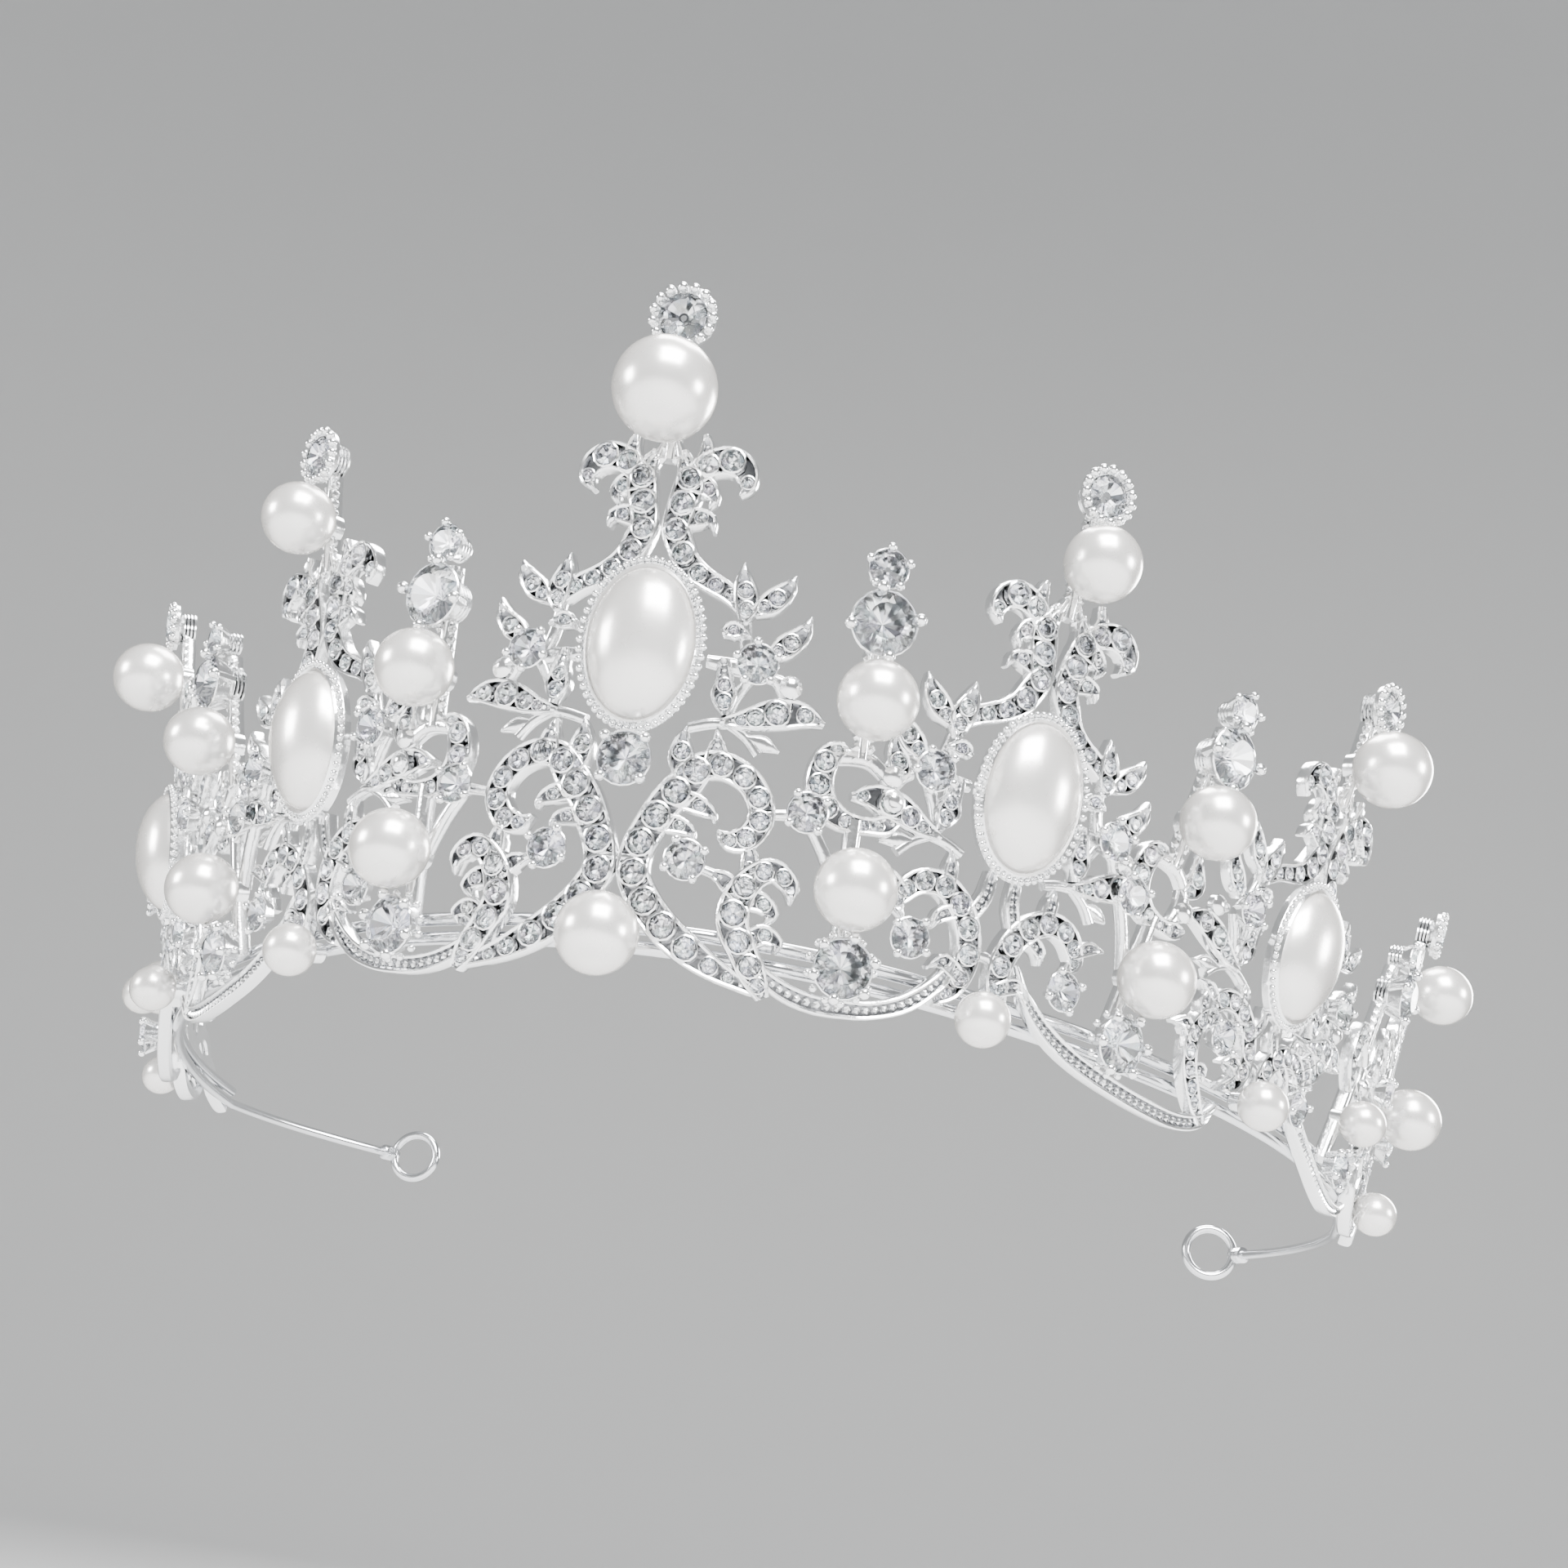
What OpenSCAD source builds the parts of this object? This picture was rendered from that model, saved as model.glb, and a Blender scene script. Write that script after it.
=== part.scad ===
// Bridal tiara: silver-plated filigree castings on a bent double wire, with pearls and cut stones.
// Millimetres. The front faces -Y, +Z is up. Names say left and right as seen from the front: +X is right.
// Origin: middle of the footprint, on the plane that the lower rim rests on.
// Every casting is drawn flat (x along the arch, y up the slope) and stood on the arch by stand().

/* [Arch] */
// Radius of the front of the arch at its lower rim
front_radius = 54; // [50:1:70]
// Half angle of that front stretch
front_angle = 31.5; // [25:0.5:38]
// Radius of the long sides
side_radius = 112; // [90:1:140]
// Outward lean of the castings
flare = 12.5; // [5:0.5:20]

/* [Wire] */
// Diameter of each of the two rods
wire_d = 1.4; // [1:0.1:2]
// Height of the lower rod up the slope
wire_low_h = 4; // [3:0.5:5]
// Distance between the two rods
wire_gap = 1.9; // [1.5:0.1:2.5]
// Arc length from the middle of the front to the last casting's end
wire_flat_s = 138; // [132:1:150]
// Arc length of the bare tails
tail_s = 50; // [30:1:60]
// Upward slant of the tails
tail_rise = 5; // [0:0.5:8]
// Outer diameter of an end loop
loop_d = 9; // [8:0.5:12]
// Length of the wrapped neck
neck_l = 3; // [2:0.5:4]

/* [Castings] */
// Full thickness of a casting
cast_t = 1.7; // [1.2:0.1:2.4]
// Depth of the channels that hold the small stones
channel_depth = 0.8; // [0.5:0.1:0.9]
// Width of the raised rims
rim_w = 0.42; // [0.3:0.02:0.55]
// Size of the ring scrolls' round hole
ring_hole = 3.8; // [3:0.1:4.2]

/* [Pearls] */
// Crest pearl in the middle
crest_pearl_d = 10.5; // [9:0.5:11]
// Crest pearls at the inner motifs
inner_pearl_d = 8; // [7:0.5:9]
// Crest pearls at the outer motifs
outer_pearl_d = 9; // [7:0.5:9.5]
// Pearls on the spike columns, and the base pearl in the middle
spike_pearl_d = 8; // [6:0.5:8.5]
// Base pearls at the other motifs
base_pearl_d = 5.5; // [4:0.5:6]
// Diameter of the pegs that the pearls are glued on
peg_d = 1; // [0.8:0.1:1.4]
// Glue gap round a peg
peg_clear = 0.05; // [0.02:0.01:0.1]
// Oval pearl: half width, half height and dome
oval_a = 5.4; // [4.5:0.1:6]
oval_b = 7.8; // [7:0.1:8.4]
oval_c = 4.2; // [3:0.1:5]
// Wall of the oval bezel
bezel_w = 1.1; // [0.8:0.1:1.4]

/* [Stones] */
// Crest stone in the middle
crest_stone_d = 5; // [4:0.1:5.4]
// Crest stones elsewhere
side_crest_d = 4.4; // [3.6:0.1:5]
// Large spike stones
spike_stone_d = 6.6; // [5.5:0.1:7]
// Spike tip stones
tip_stone_d = 4; // [3.2:0.1:4.4]
// Low stones on the scallops
low_stone_d = 5.6; // [4.5:0.1:6]
// Round stones at the leaf clusters and inside the scrolls
round_stone_d = 3.8; // [3:0.1:4.2]
// Stone under the middle oval
under_stone_d = 5.2; // [4.5:0.1:5.6]
// Stones set in the channels
pave_d = 1.9; // [1.4:0.05:2]
// Wall of a cup
cup_w = 0.45; // [0.35:0.05:0.6]
// Diameter of the ball prongs round the crest cups
ball_d = 1.15; // [0.9:0.05:1.3]

/* [Hidden] */
$fn = 48;
silver = "silver";
pearl_white = "ivory";
crystal = "aliceblue";

// Units along the arch: [arc length, lean, raise] of each motif and each spike column.
centre_at = [0, 0, 0];
inner_at = [35.3, 2, 0.3];
outer_at = [74.2, 10, 2.3];
end_at = [119, 10, 1];
inner_spike_at = [21.6, -4, 0.3];
outer_spike_at = [51, 11, 1];
end_spike_at = [97, 20, 1.2];

// Heights up the slope.
centre_oval_h = 33;
inner_oval_h = 25.8;
outer_oval_h = 21.4;
crest_pearl_up = 25;
gap = 0.2;                        // clear space between a pearl and the cup beside it
crest_stone_up = crest_pearl_up + crest_pearl_d / 2 + crest_stone_d / 2 + 1.25 * ball_d + gap;
side_crest_up = crest_pearl_up + max(inner_pearl_d, outer_pearl_d) / 2 + side_crest_d / 2
    + 1.25 * ball_d + gap;
under_stone_h = 21.4;
base_pearl_h = spike_pearl_d / 2 + 0.3;
small_base_h = base_pearl_d / 2 + 0.3;
tip_h = 44;
spike_stone_h = 38.2;
spike_pearl_h = spike_stone_h - spike_stone_d / 2 - cup_w - spike_pearl_d / 2 - gap;
low_stone_h = 4.4;
low_pearl_h = low_stone_h + low_stone_d / 2 + cup_w + spike_pearl_d / 2 + gap;
end_spike_pearl_h = 10;
end_stone_h = 29.5;
end_tip_h = 35.6;
end_pearl_top_h = 36;
end_pearl_low_h = 17;
end_crest_h = 45;
end_low_stone_h = 3.4;
end_low_stone_d = round_stone_d + 0.6;
end_stone_d = spike_stone_d - 0.6;
ring_h = 22.6;
round_x = 11.2;                   // round stones beside the oval
inner_x = 6.6;                    // and inside the scrolls
inner_y = 12.4;
side_stone = [-4.8, 18.8];        // round stone beside a spike's ring
prongs = 14;                      // balls round a crest cup
pearl_rise = 0.47;                // height of a pearl's middle over its seat, as a share of its diameter
// How the scrolls and leaf clusters are fitted under each oval: [across, up, cluster reach]
centre_fit = [1, 1, 1];
inner_fit = [1.12, 0.72, 0.95];
outer_fit = [1.1, 0.56, 1.05];
motifs = [[centre_at, centre_oval_h, centre_fit], [inner_at, inner_oval_h, inner_fit],
          [outer_at, outer_oval_h, outer_fit]];
thin_w = 0.25;                    // half width of the narrowest channel that is cut
floor_t = cast_t - channel_depth; // metal left under a channel
sink = 0.08;                      // how far seated pieces press into the metal they stand on
outline = 2;                      // steps between two points of a stroke

// ---------- placing ----------
function side_centre() = [(front_radius - side_radius) * sin(front_angle),
                          front_radius - (front_radius - side_radius) * cos(front_angle)];
function turn_at(s) = s <= arc_front() ? s / front_radius * 180 / PI
    : front_angle + (s - arc_front()) / side_radius * 180 / PI;
function arc_front() = front_radius * front_angle * PI / 180;
function rim_at(s) = s <= arc_front()
    ? [front_radius * sin(turn_at(s)), front_radius * (1 - cos(turn_at(s)))]
    : side_centre() + side_radius * [sin(turn_at(s)), -cos(turn_at(s))];
// Lowest point of the middle base pearl, which the tiara rests on.
rest_z = base_pearl_h * cos(flare) - (seat() - sink + pearl_rise * spike_pearl_d) * sin(flare) - spike_pearl_d / 2;
function wire_out(h) = h * sin(flare) - wire_d / 2 - 0.02;    // how far out of the rim a rod runs
neck_od = wire_d + 1.2;
// Middle of the depth, from the middle crest pearl's face to the wrapped necks, so that the origin is there.
front_y = -(centre_oval_h + crest_pearl_up) * sin(flare)
    - (seat() - sink + pearl_rise * crest_pearl_d) * cos(flare) - crest_pearl_d / 2;
back_y = tail_end(0)[1] + 0.3 * neck_l * sin(turn_at(wire_flat_s + tail_s))
    - neck_od / 2 * cos(turn_at(wire_flat_s + tail_s));
depth_mid = (front_y + back_y) / 2;

module stand(unit, side = 1)
    mirror([side < 0 ? 1 : 0, 0, 0])
        translate([rim_at(unit[0])[0], rim_at(unit[0])[1] - depth_mid, -rest_z])
            rotate([0, 0, turn_at(unit[0])])
                rotate([90 + flare, 0, 0])
                    translate([0, unit[2], 0])
                        rotate([0, 0, -unit[1]])
                            children();

module lift(x, y, z) translate([x, y, z]) children();

// ---------- flat drawing ----------
// A stroke is a list of [x, y, width]; a smooth curve runs through its points.
function mid(p, i, t) = let (a = p[max(i - 1, 0)], b = p[i], c = p[i + 1], d = p[min(i + 2, len(p) - 1)])
    0.5 * (2 * b + (c - a) * t + (2 * a - 5 * b + 4 * c - d) * t * t
           + (3 * b - a - 3 * c + d) * t * t * t);
function smooth(p) = [for (i = [0 : len(p) - 2]) for (k = [0 : outline - 1]) mid(p, i, k / outline),
                      p[len(p) - 1]];
function flip(p) = [for (q = p) [-q[0], q[1], q[2]]];
function fit(p, kx, ky) = [for (q = p) [q[0] * kx, q[1] * ky, q[2]]];
function up(p, h) = [for (q = p) [q[0], q[1] + h, q[2]]];
function side_way(p, i) = let (d = p[min(i + 1, len(p) - 1)] - p[max(i - 1, 0)], l = norm([d[0], d[1]]))
    [-d[1], d[0]] / l;

module stroke(points) {
    p = smooth(points);
    for (i = [0 : len(p) - 2]) {
        a = side_way(p, i) * p[i][2] / 2;
        b = side_way(p, i + 1) * p[i + 1][2] / 2;
        p0 = [p[i][0], p[i][1]];
        p1 = [p[i + 1][0], p[i + 1][1]];
        polygon([p0 + a, p1 + b, p1 - b, p0 - a]);
    }
    for (q = [p[0], p[len(p) - 1]]) translate([q[0], q[1]]) circle(d = q[2], $fn = 8);
}

module stroke_pair(points) {
    stroke(points);
    stroke(flip(points));
}

module ellipse(a, b) polygon([for (t = [0 : 7.5 : 352.5]) [a * cos(t), b * sin(t)]]);

module pad(x, y, d) translate([x, y]) circle(d = d, $fn = 20);

module pad_pair(x, y, d) {
    pad(x, y, d);
    pad(-x, y, d);
}

// Channel casting: a floor with a raised rim all round, pads stay solid to full height.
module channel_casting() {
    color(silver)
    difference() {
        linear_extrude(cast_t) offset(delta = 0.01) children(0);
        translate([0, 0, floor_t]) linear_extrude(cast_t)
            offset(delta = thin_w) offset(delta = -rim_w - thin_w) children(0);
    }
    color(silver) linear_extrude(cast_t - 0.1) offset(delta = 0.01) children(1);
}

// Crest arms: they touch above the oval pearl and spread down over its bezel.
crest_arm = [[0.6, 19, 0.9], [1.5, 17, 1.8], [1.7, 14.8, 2.6], [2.2, 12.2, 2.8], [3.6, 9.8, 2.4],
             [6, 8, 1.8], [8.6, 6, 1.1]];
crest_curl = [[1.7, 14.8, 2.2], [3.4, 16.6, 2], [6.2, 17, 1.7], [8.4, 15.4, 1.2], [8.2, 13.6, 0.8]];
crest_hook = [[2.2, 12.4, 2], [4, 13, 1.5], [5.4, 12.4, 0.9]];
crest_stem = [[0, 7.6, 2.4], [0, 12, 1.8], [0, 20, 1.8], [0, 34, 1.8]];
crest_leaf = [[0.4, 19, 0.9], [2.2, 19.6, 1.6], [4.6, 21.6, 1.2], [5.4, 23.6, 0.6]];

// Leaf cluster at each side of the oval pearl.
leaf_1 = [[8.6, 3, 1], [9.4, 5.6, 2], [9.1, 9.4, 0.5]];
leaf_2 = [[10.6, 0.6, 1.2], [12, 5, 2], [14, 8.4, 0.5]];
leaf_3 = [[11.6, 0, 1], [13.8, 2.4, 2], [16, 4.8, 0.5]];
leaf_4 = [[7, -3.4, 1], [8.6, -4.2, 1.7], [10.4, -3.4, 0.5]];
big_leaf = [[6.6, -5.6, 1.2], [10, -6.4, 2], [13.4, -5.6, 2.6], [16, -5.2, 2.2], [18.4, -5.4, 0.5]];
low_leaf = [[7.6, -6.4, 1], [9.4, -8, 1.7], [11.4, -8.6, 0.6]];
cluster_bar = [[6.4, -1, 1.8], [11, -1, 2], [14.6, -2.2, 1.6]];

// Lower pair of scrolls, full size under the middle oval.
scroll = [[9.4, 16, 1.4], [11.2, 15.4, 1.6], [13, 17.4, 2], [12.4, 20.4, 2.4], [9.8, 22.2, 2.6],
          [6.8, 20.8, 2.6], [4, 17.8, 2.8], [2.2, 13.4, 3], [2.2, 10, 3], [4, 7, 2.9],
          [7, 4.2, 2.6], [10.4, 2.2, 1.9], [14, 1.3, 1.2]];
scroll_tip_1 = [[5.4, 20.6, 1.6], [4.9, 22.6, 1.5], [4.8, 24.6, 0.5]];
scroll_tip_2 = [[8.4, 22, 1.8], [8.4, 23.4, 1.5], [8.2, 25.2, 0.5]];
scroll_hook = [[4.6, 17.6, 1.4], [6.2, 16.6, 1.3], [6.6, 15, 0.9]];
acanthus = [[13.6, 2, 1.2], [12.4, 5.4, 2.2], [11.4, 8.4, 2.4], [12.4, 11.2, 2.3], [14.8, 12.6, 1.8],
            [16.4, 11, 1.1], [15.4, 9.8, 0.8]];
acanthus_hook = [[12, 6, 1.6], [14.2, 7.2, 1.3], [15.8, 6, 0.7]];
acanthus_stem = [[12.4, 10.8, 1.4], [12.5, 14, 1.4], [12.6, 17, 1.6]];

module crest_drawing(h) translate([0, h]) {
    for (line = [crest_curl, crest_hook, crest_leaf]) stroke_pair(line);
    stroke(crest_stem);
}

module cluster_drawing(h, reach) translate([0, h]) for (k = [reach, -reach]) {
    for (leaf = [leaf_1, leaf_2, leaf_3, leaf_4, low_leaf, cluster_bar]) stroke(fit(leaf, k, 1));
    pad(round_x * k, -1, round_stone_d + 1);
}

module scroll_drawing(kx, ky) {
    for (line = [scroll_tip_1, scroll_tip_2, scroll_hook, acanthus_hook, acanthus_stem])
        stroke_pair(fit(line, kx, ky));
    pad_pair(inner_x * kx, inner_y * ky, round_stone_d + 0.9);
    stroke_pair(fit([[2.4, 12.4, 1.4], [inner_x, inner_y, 1.6]], kx, ky));
    stroke([[-3 * kx, 6.4 * ky, 1.6], [0, 5.6 * ky, 1.8], [3 * kx, 6.4 * ky, 1.6]]);
}

module oval_seat(h) translate([0, h]) difference() {
    ellipse(oval_a + bezel_w - 0.1, oval_b + bezel_w - 0.1);
    ellipse(oval_a - 1.6, oval_b - 1.6);
}

// One whole motif: crest, oval seat, leaf clusters and scrolls.
module motif(oval_h, pearl_d, low_pearl_d, fitting) {
    channel_casting() {
        union() {
            translate([0, oval_h]) {
                stroke_pair(crest_arm);
                for (k = [fitting[2], -fitting[2]]) stroke(fit(big_leaf, k, 1));
            }
            stroke_pair(fit(scroll, fitting[0], fitting[1]));
            stroke_pair(fit(acanthus, fitting[0], fitting[1]));
        }
        union() {
            crest_drawing(oval_h);
            cluster_drawing(oval_h, fitting[2]);
            scroll_drawing(fitting[0], fitting[1]);
            oval_seat(oval_h);
            pad(0, oval_h + crest_pearl_up, pearl_d * 0.5);
            pad(0, low_pearl_d / 2 + 0.3, low_pearl_d * 0.55);
            pad(0, oval_h + crest_stone_up, side_crest_d + 0.4);
            stroke([[0, low_pearl_d * 0.4, 1.6], [0, oval_h - oval_b, 1.6]]);
        }
    }
}

module centre_casting() stand(centre_at) motif(centre_oval_h, crest_pearl_d, spike_pearl_d, centre_fit);
module inner_casting(side) stand(inner_at, side)
    motif(inner_oval_h, inner_pearl_d, base_pearl_d, inner_fit);
module outer_casting(side) stand(outer_at, side)
    motif(outer_oval_h, outer_pearl_d, base_pearl_d, outer_fit);

// Spike column: a ring-shaped scroll between two pearls, on a scallop that carries the low stone.
scallop = [[-8.5, 5, 1], [-6, 2.2, 1.5], [-3, 1.1, 1.8], [0.4, 0.9, 1.9], [4, 1.1, 1.8], [7.4, 2.4, 1.6],
           [10, 5.4, 1.2], [10.8, 8.2, 0.9]];
short_scallop = [[-6, 4, 1], [-3.6, 1.6, 1.6], [0, 0.9, 1.9], [3.6, 1.6, 1.6], [6, 4, 1]];
ring_leaf_1 = [[1.8, 25, 1.2], [3.6, 26, 2.2], [3.4, 29, 0.5]];
ring_leaf_2 = [[2, 20.4, 1.2], [3.8, 19.4, 2], [5.6, 20.4, 0.5]];

module ring_scroll() translate([0, ring_h]) difference() {
    circle(d = ring_hole + 4.6);
    circle(d = ring_hole);
}

module spike(low_rim) channel_casting() {
    union() {
        ring_scroll();
        stroke(low_rim);
        stroke(ring_leaf_1);
        stroke(ring_leaf_2);
        stroke(flip(ring_leaf_1));
        stroke([[-1.5, 19, 1.8], [-3, 17, 2.2], [-5, 18.6, 2]]);
    }
    union() {
        stroke([[0, ring_h + ring_hole / 2 + 1.2, 1.8], [0, tip_h, 1.8]]);
        stroke([[0, low_stone_h, 1.8], [0, ring_h - ring_hole / 2 - 1.2, 1.8]]);
        pad(0, tip_h, tip_stone_d + 0.4);
        pad(0, spike_stone_h, spike_stone_d + 0.2);
        pad(0, spike_pearl_h, spike_pearl_d * 0.5);
        pad(0, low_pearl_h, spike_pearl_d * 0.5);
        pad(0, low_stone_h, low_stone_d + 0.4);
        pad(side_stone[0], side_stone[1], round_stone_d + 0.4);
    }
}

module end_spike() channel_casting() {
    union() {
        stroke(short_scallop);
        ring_scroll();
        stroke_pair([[0, 17.4, 1.8], [3.6, 15.4, 2], [5, 16.8, 1.6]]);
    }
    union() {
        stroke([[0, ring_h + ring_hole / 2 + 1.2, 1.8], [0, end_tip_h, 1.8]]);
        stroke([[0, 3, 1.8], [0, ring_h - ring_hole / 2 - 1.2, 1.8]]);
        pad(0, end_tip_h, tip_stone_d + 0.4);
        pad(0, end_stone_h, end_stone_d + 0.2);
        pad(0, end_spike_pearl_h, base_pearl_d * 0.5);
        pad(0, end_low_stone_h, end_low_stone_d);
    }
}

// Last motif at each end of the arch: no oval, two pearls one over the other.
end_wave = [[0, 26.5, 1.6], [-3.4, 28.6, 2.2], [-5.6, 26, 1.8], [-4, 23.4, 1.6], [0, 24, 1.6],
            [4, 23.4, 1.6], [5.6, 26, 1.8], [3.4, 28.6, 2.2], [0, 26.5, 1.6]];
end_tail = [[0, 9, 1.8], [5, 7.4, 2.4], [10, 9, 2.2], [14, 6.6, 1.8], [18.6, 5.4, 1.2]];
module end_casting(side) stand(end_at, side) channel_casting() {
    union() {
        stroke(end_wave);
        stroke(end_tail);
        stroke(flip(fit(end_tail, 0.55, 1)));
        stroke(fit(short_scallop, 1.3, 1));
        stroke_pair([[1, 12, 1.8], [5.4, 12.6, 2.2], [6.6, 16, 1.4]]);
    }
    union() {
        stroke([[0, 3, 2], [0, end_crest_h, 1.8]]);
        pad(0, end_crest_h, side_crest_d + 0.4);
        pad(0, end_pearl_top_h, spike_pearl_d * 0.5);
        pad(0, end_pearl_low_h, spike_pearl_d * 0.5);
        pad(0, small_base_h, base_pearl_d * 0.55);
    }
}

// ---------- pearls ----------
function seat() = cast_t - 0.1;          // top of the solid pads

module pearl(x, y, d) color(pearl_white) lift(x, y, seat() - sink + d * pearl_rise) difference() {
    sphere(d = d);
    translate([0, 0, -d * (0.5 + pearl_rise)]) cube([d, d, d], center = true);
    translate([0, 0, -d / 2 - 1]) cylinder(d = peg_d + 2 * peg_clear, h = d * 0.7 + 1);
}

module peg(x, y, d) color(silver) lift(x, y, seat() - 0.4) cylinder(d = peg_d, h = d * 0.55 + 0.4);

module crest_pearl(unit, side, oval_h, d) stand(unit, side) pearl(0, oval_h + crest_pearl_up, d);
module spike_pearls(unit, side) stand(unit, side)
    for (h = [spike_pearl_h, low_pearl_h]) pearl(0, h, spike_pearl_d);
module end_crest_pearls(side) stand(end_at, side)
    for (h = [end_pearl_top_h, end_pearl_low_h]) pearl(0, h, spike_pearl_d);
module end_spike_pearl(side) stand(end_spike_at, side) pearl(0, end_spike_pearl_h, base_pearl_d);

module base_pearls() {
    stand(centre_at) pearl(0, base_pearl_h, spike_pearl_d);
    for (side = [-1, 1]) for (unit = [inner_at, outer_at, end_at])
        stand(unit, side) pearl(0, small_base_h, base_pearl_d);
}

module pearl_pegs() {
    stand(centre_at) {
        peg(0, centre_oval_h + crest_pearl_up, crest_pearl_d);
        peg(0, base_pearl_h, spike_pearl_d);
    }
    for (side = [-1, 1]) {
        stand(inner_at, side) peg(0, inner_oval_h + crest_pearl_up, inner_pearl_d);
        stand(outer_at, side) peg(0, outer_oval_h + crest_pearl_up, outer_pearl_d);
        stand(end_at, side) for (h = [end_pearl_top_h, end_pearl_low_h]) peg(0, h, spike_pearl_d);
        stand(end_spike_at, side) peg(0, end_spike_pearl_h, base_pearl_d);
        for (unit = [inner_spike_at, outer_spike_at]) stand(unit, side)
            for (h = [spike_pearl_h, low_pearl_h]) peg(0, h, spike_pearl_d);
        for (unit = [inner_at, outer_at, end_at]) stand(unit, side) peg(0, small_base_h, base_pearl_d);
    }
}

module oval_bezel(unit, side, h) stand(unit, side) color(silver) lift(0, h, seat() - sink)
    difference() {
        linear_extrude(2.2) ellipse(oval_a + bezel_w, oval_b + bezel_w);
        translate([0, 0, 0.6]) linear_extrude(2) ellipse(oval_a + 0.05, oval_b + 0.05);
        translate([0, 0, -1]) linear_extrude(3) ellipse(oval_a - 1.6, oval_b - 1.6);
    }

module oval_pearl(unit, side, h) stand(unit, side) color(pearl_white) lift(0, h, seat() - sink + 0.6)
    intersection() {
        resize([2 * oval_a, 2 * oval_b, 2 * oval_c]) sphere(d = 2, $fn = 32);
        translate([0, 0, 10]) cube([20, 20, 20], center = true);
    }

// ---------- stones and their cups ----------
// A round stone: table, crown, girdle and a pavilion that is cut flat behind.
module stone(x, y, d, z) color(crystal) lift(x, y, z) rotate_extrude()
    polygon([[0, -0.3 * d], [0.16 * d, -0.3 * d], [0.49 * d, -0.03 * d], [0.49 * d, 0.02 * d],
             [0.3 * d, 0.17 * d], [0, 0.17 * d]]);

module cup(x, y, d, z) color(silver) lift(x, y, z) {
    rotate_extrude()
        polygon([[0, 0], [0.32 * d, 0], [0.5 * d + cup_w, 0.34 * d], [0.5 * d, 0.36 * d],
                 [0.16 * d, 0.05 * d], [0, 0.05 * d]]);
}

module balls(y, d, z) color(silver) for (k = [0 : prongs - 1])
    translate([0, y, z]) rotate([0, 0, 360 * k / prongs])
        translate([d / 2 + 0.65 * ball_d, 0, 0]) sphere(d = ball_d);

module set_cup(x, y, d) cup(x, y, d, seat() - sink);
module set_stone(x, y, d) stone(x, y, d, seat() - sink + 0.35 * d);

// Crest cup: a bored ring with a row of ball prongs standing on it.
module crest_cup(y, d) {
    color(silver) lift(0, y, seat() - sink) difference() {
        cylinder(d = d + 2.5 * ball_d, h = 0.3 * d);
        translate([0, 0, 0.05 * d]) cylinder(d = d + 0.05, h = d);
    }
    balls(y, d, seat() - sink + 0.3 * d + 0.2 * ball_d);
}

module crests() {
    stand(centre_at) children(0);
    for (side = [-1, 1]) {
        stand(inner_at, side) children(1);
        stand(outer_at, side) children(2);
        stand(end_at, side) children(3);
    }
}

module crest_cups() crests() {
    crest_cup(centre_oval_h + crest_stone_up, crest_stone_d);
    crest_cup(inner_oval_h + side_crest_up, side_crest_d);
    crest_cup(outer_oval_h + side_crest_up, side_crest_d);
    crest_cup(end_crest_h, side_crest_d);
}

module crest_stones() crests() {
    set_stone(0, centre_oval_h + crest_stone_up, crest_stone_d);
    set_stone(0, inner_oval_h + side_crest_up, side_crest_d);
    set_stone(0, outer_oval_h + side_crest_up, side_crest_d);
    set_stone(0, end_crest_h, side_crest_d);
}

module at_spikes() for (side = [-1, 1]) {
    stand(inner_spike_at, side) children(0);
    stand(outer_spike_at, side) children(0);
    stand(end_spike_at, side) children(1);
}

module tip_cups() at_spikes() {
    set_cup(0, tip_h, tip_stone_d);
    set_cup(0, end_tip_h, tip_stone_d);
}
module tip_stones() at_spikes() {
    set_stone(0, tip_h, tip_stone_d);
    set_stone(0, end_tip_h, tip_stone_d);
}
module spike_cups() at_spikes() {
    set_cup(0, spike_stone_h, spike_stone_d);
    set_cup(0, end_stone_h, end_stone_d);
}
module spike_stones() at_spikes() {
    set_stone(0, spike_stone_h, spike_stone_d);
    set_stone(0, end_stone_h, end_stone_d);
}
module low_cups() at_spikes() {
    set_cup(0, low_stone_h, low_stone_d);
    set_cup(0, end_low_stone_h, end_low_stone_d);
}
module low_stones() at_spikes() {
    set_stone(0, low_stone_h, low_stone_d);
    set_stone(0, end_low_stone_h, end_low_stone_d);
}

module at_rounds() {
    for (side = [-1, 1]) for (m = motifs) stand(m[0], side)
        for (k = m[0] == centre_at ? [1] : [1, -1]) {
            translate([k * round_x * m[2][2], m[1] - 1]) children();
            translate([k * inner_x * m[2][0], inner_y * m[2][1]]) children();
        }
    for (side = [-1, 1]) for (unit = [inner_spike_at, outer_spike_at])
        stand(unit, side) translate(side_stone) children();
}
module round_cups() at_rounds() set_cup(0, 0, round_stone_d);
module round_stones() at_rounds() set_stone(0, 0, round_stone_d);
module under_oval_cup() stand(centre_at) set_cup(0, under_stone_h, under_stone_d);
module under_oval_stone() stand(centre_at) set_stone(0, under_stone_h, under_stone_d);

// Stones in the channels, one at each step along the middle of a stroke.
module channel_stones(points, step) {
    p = smooth(points);
    for (i = [step : step : len(p) - 1])
        if (p[i][2] > 1.7) stone(p[i][0], p[i][1], min(pave_d, p[i][2] - 2 * rim_w - 0.1), floor_t + 0.5);
}

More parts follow.
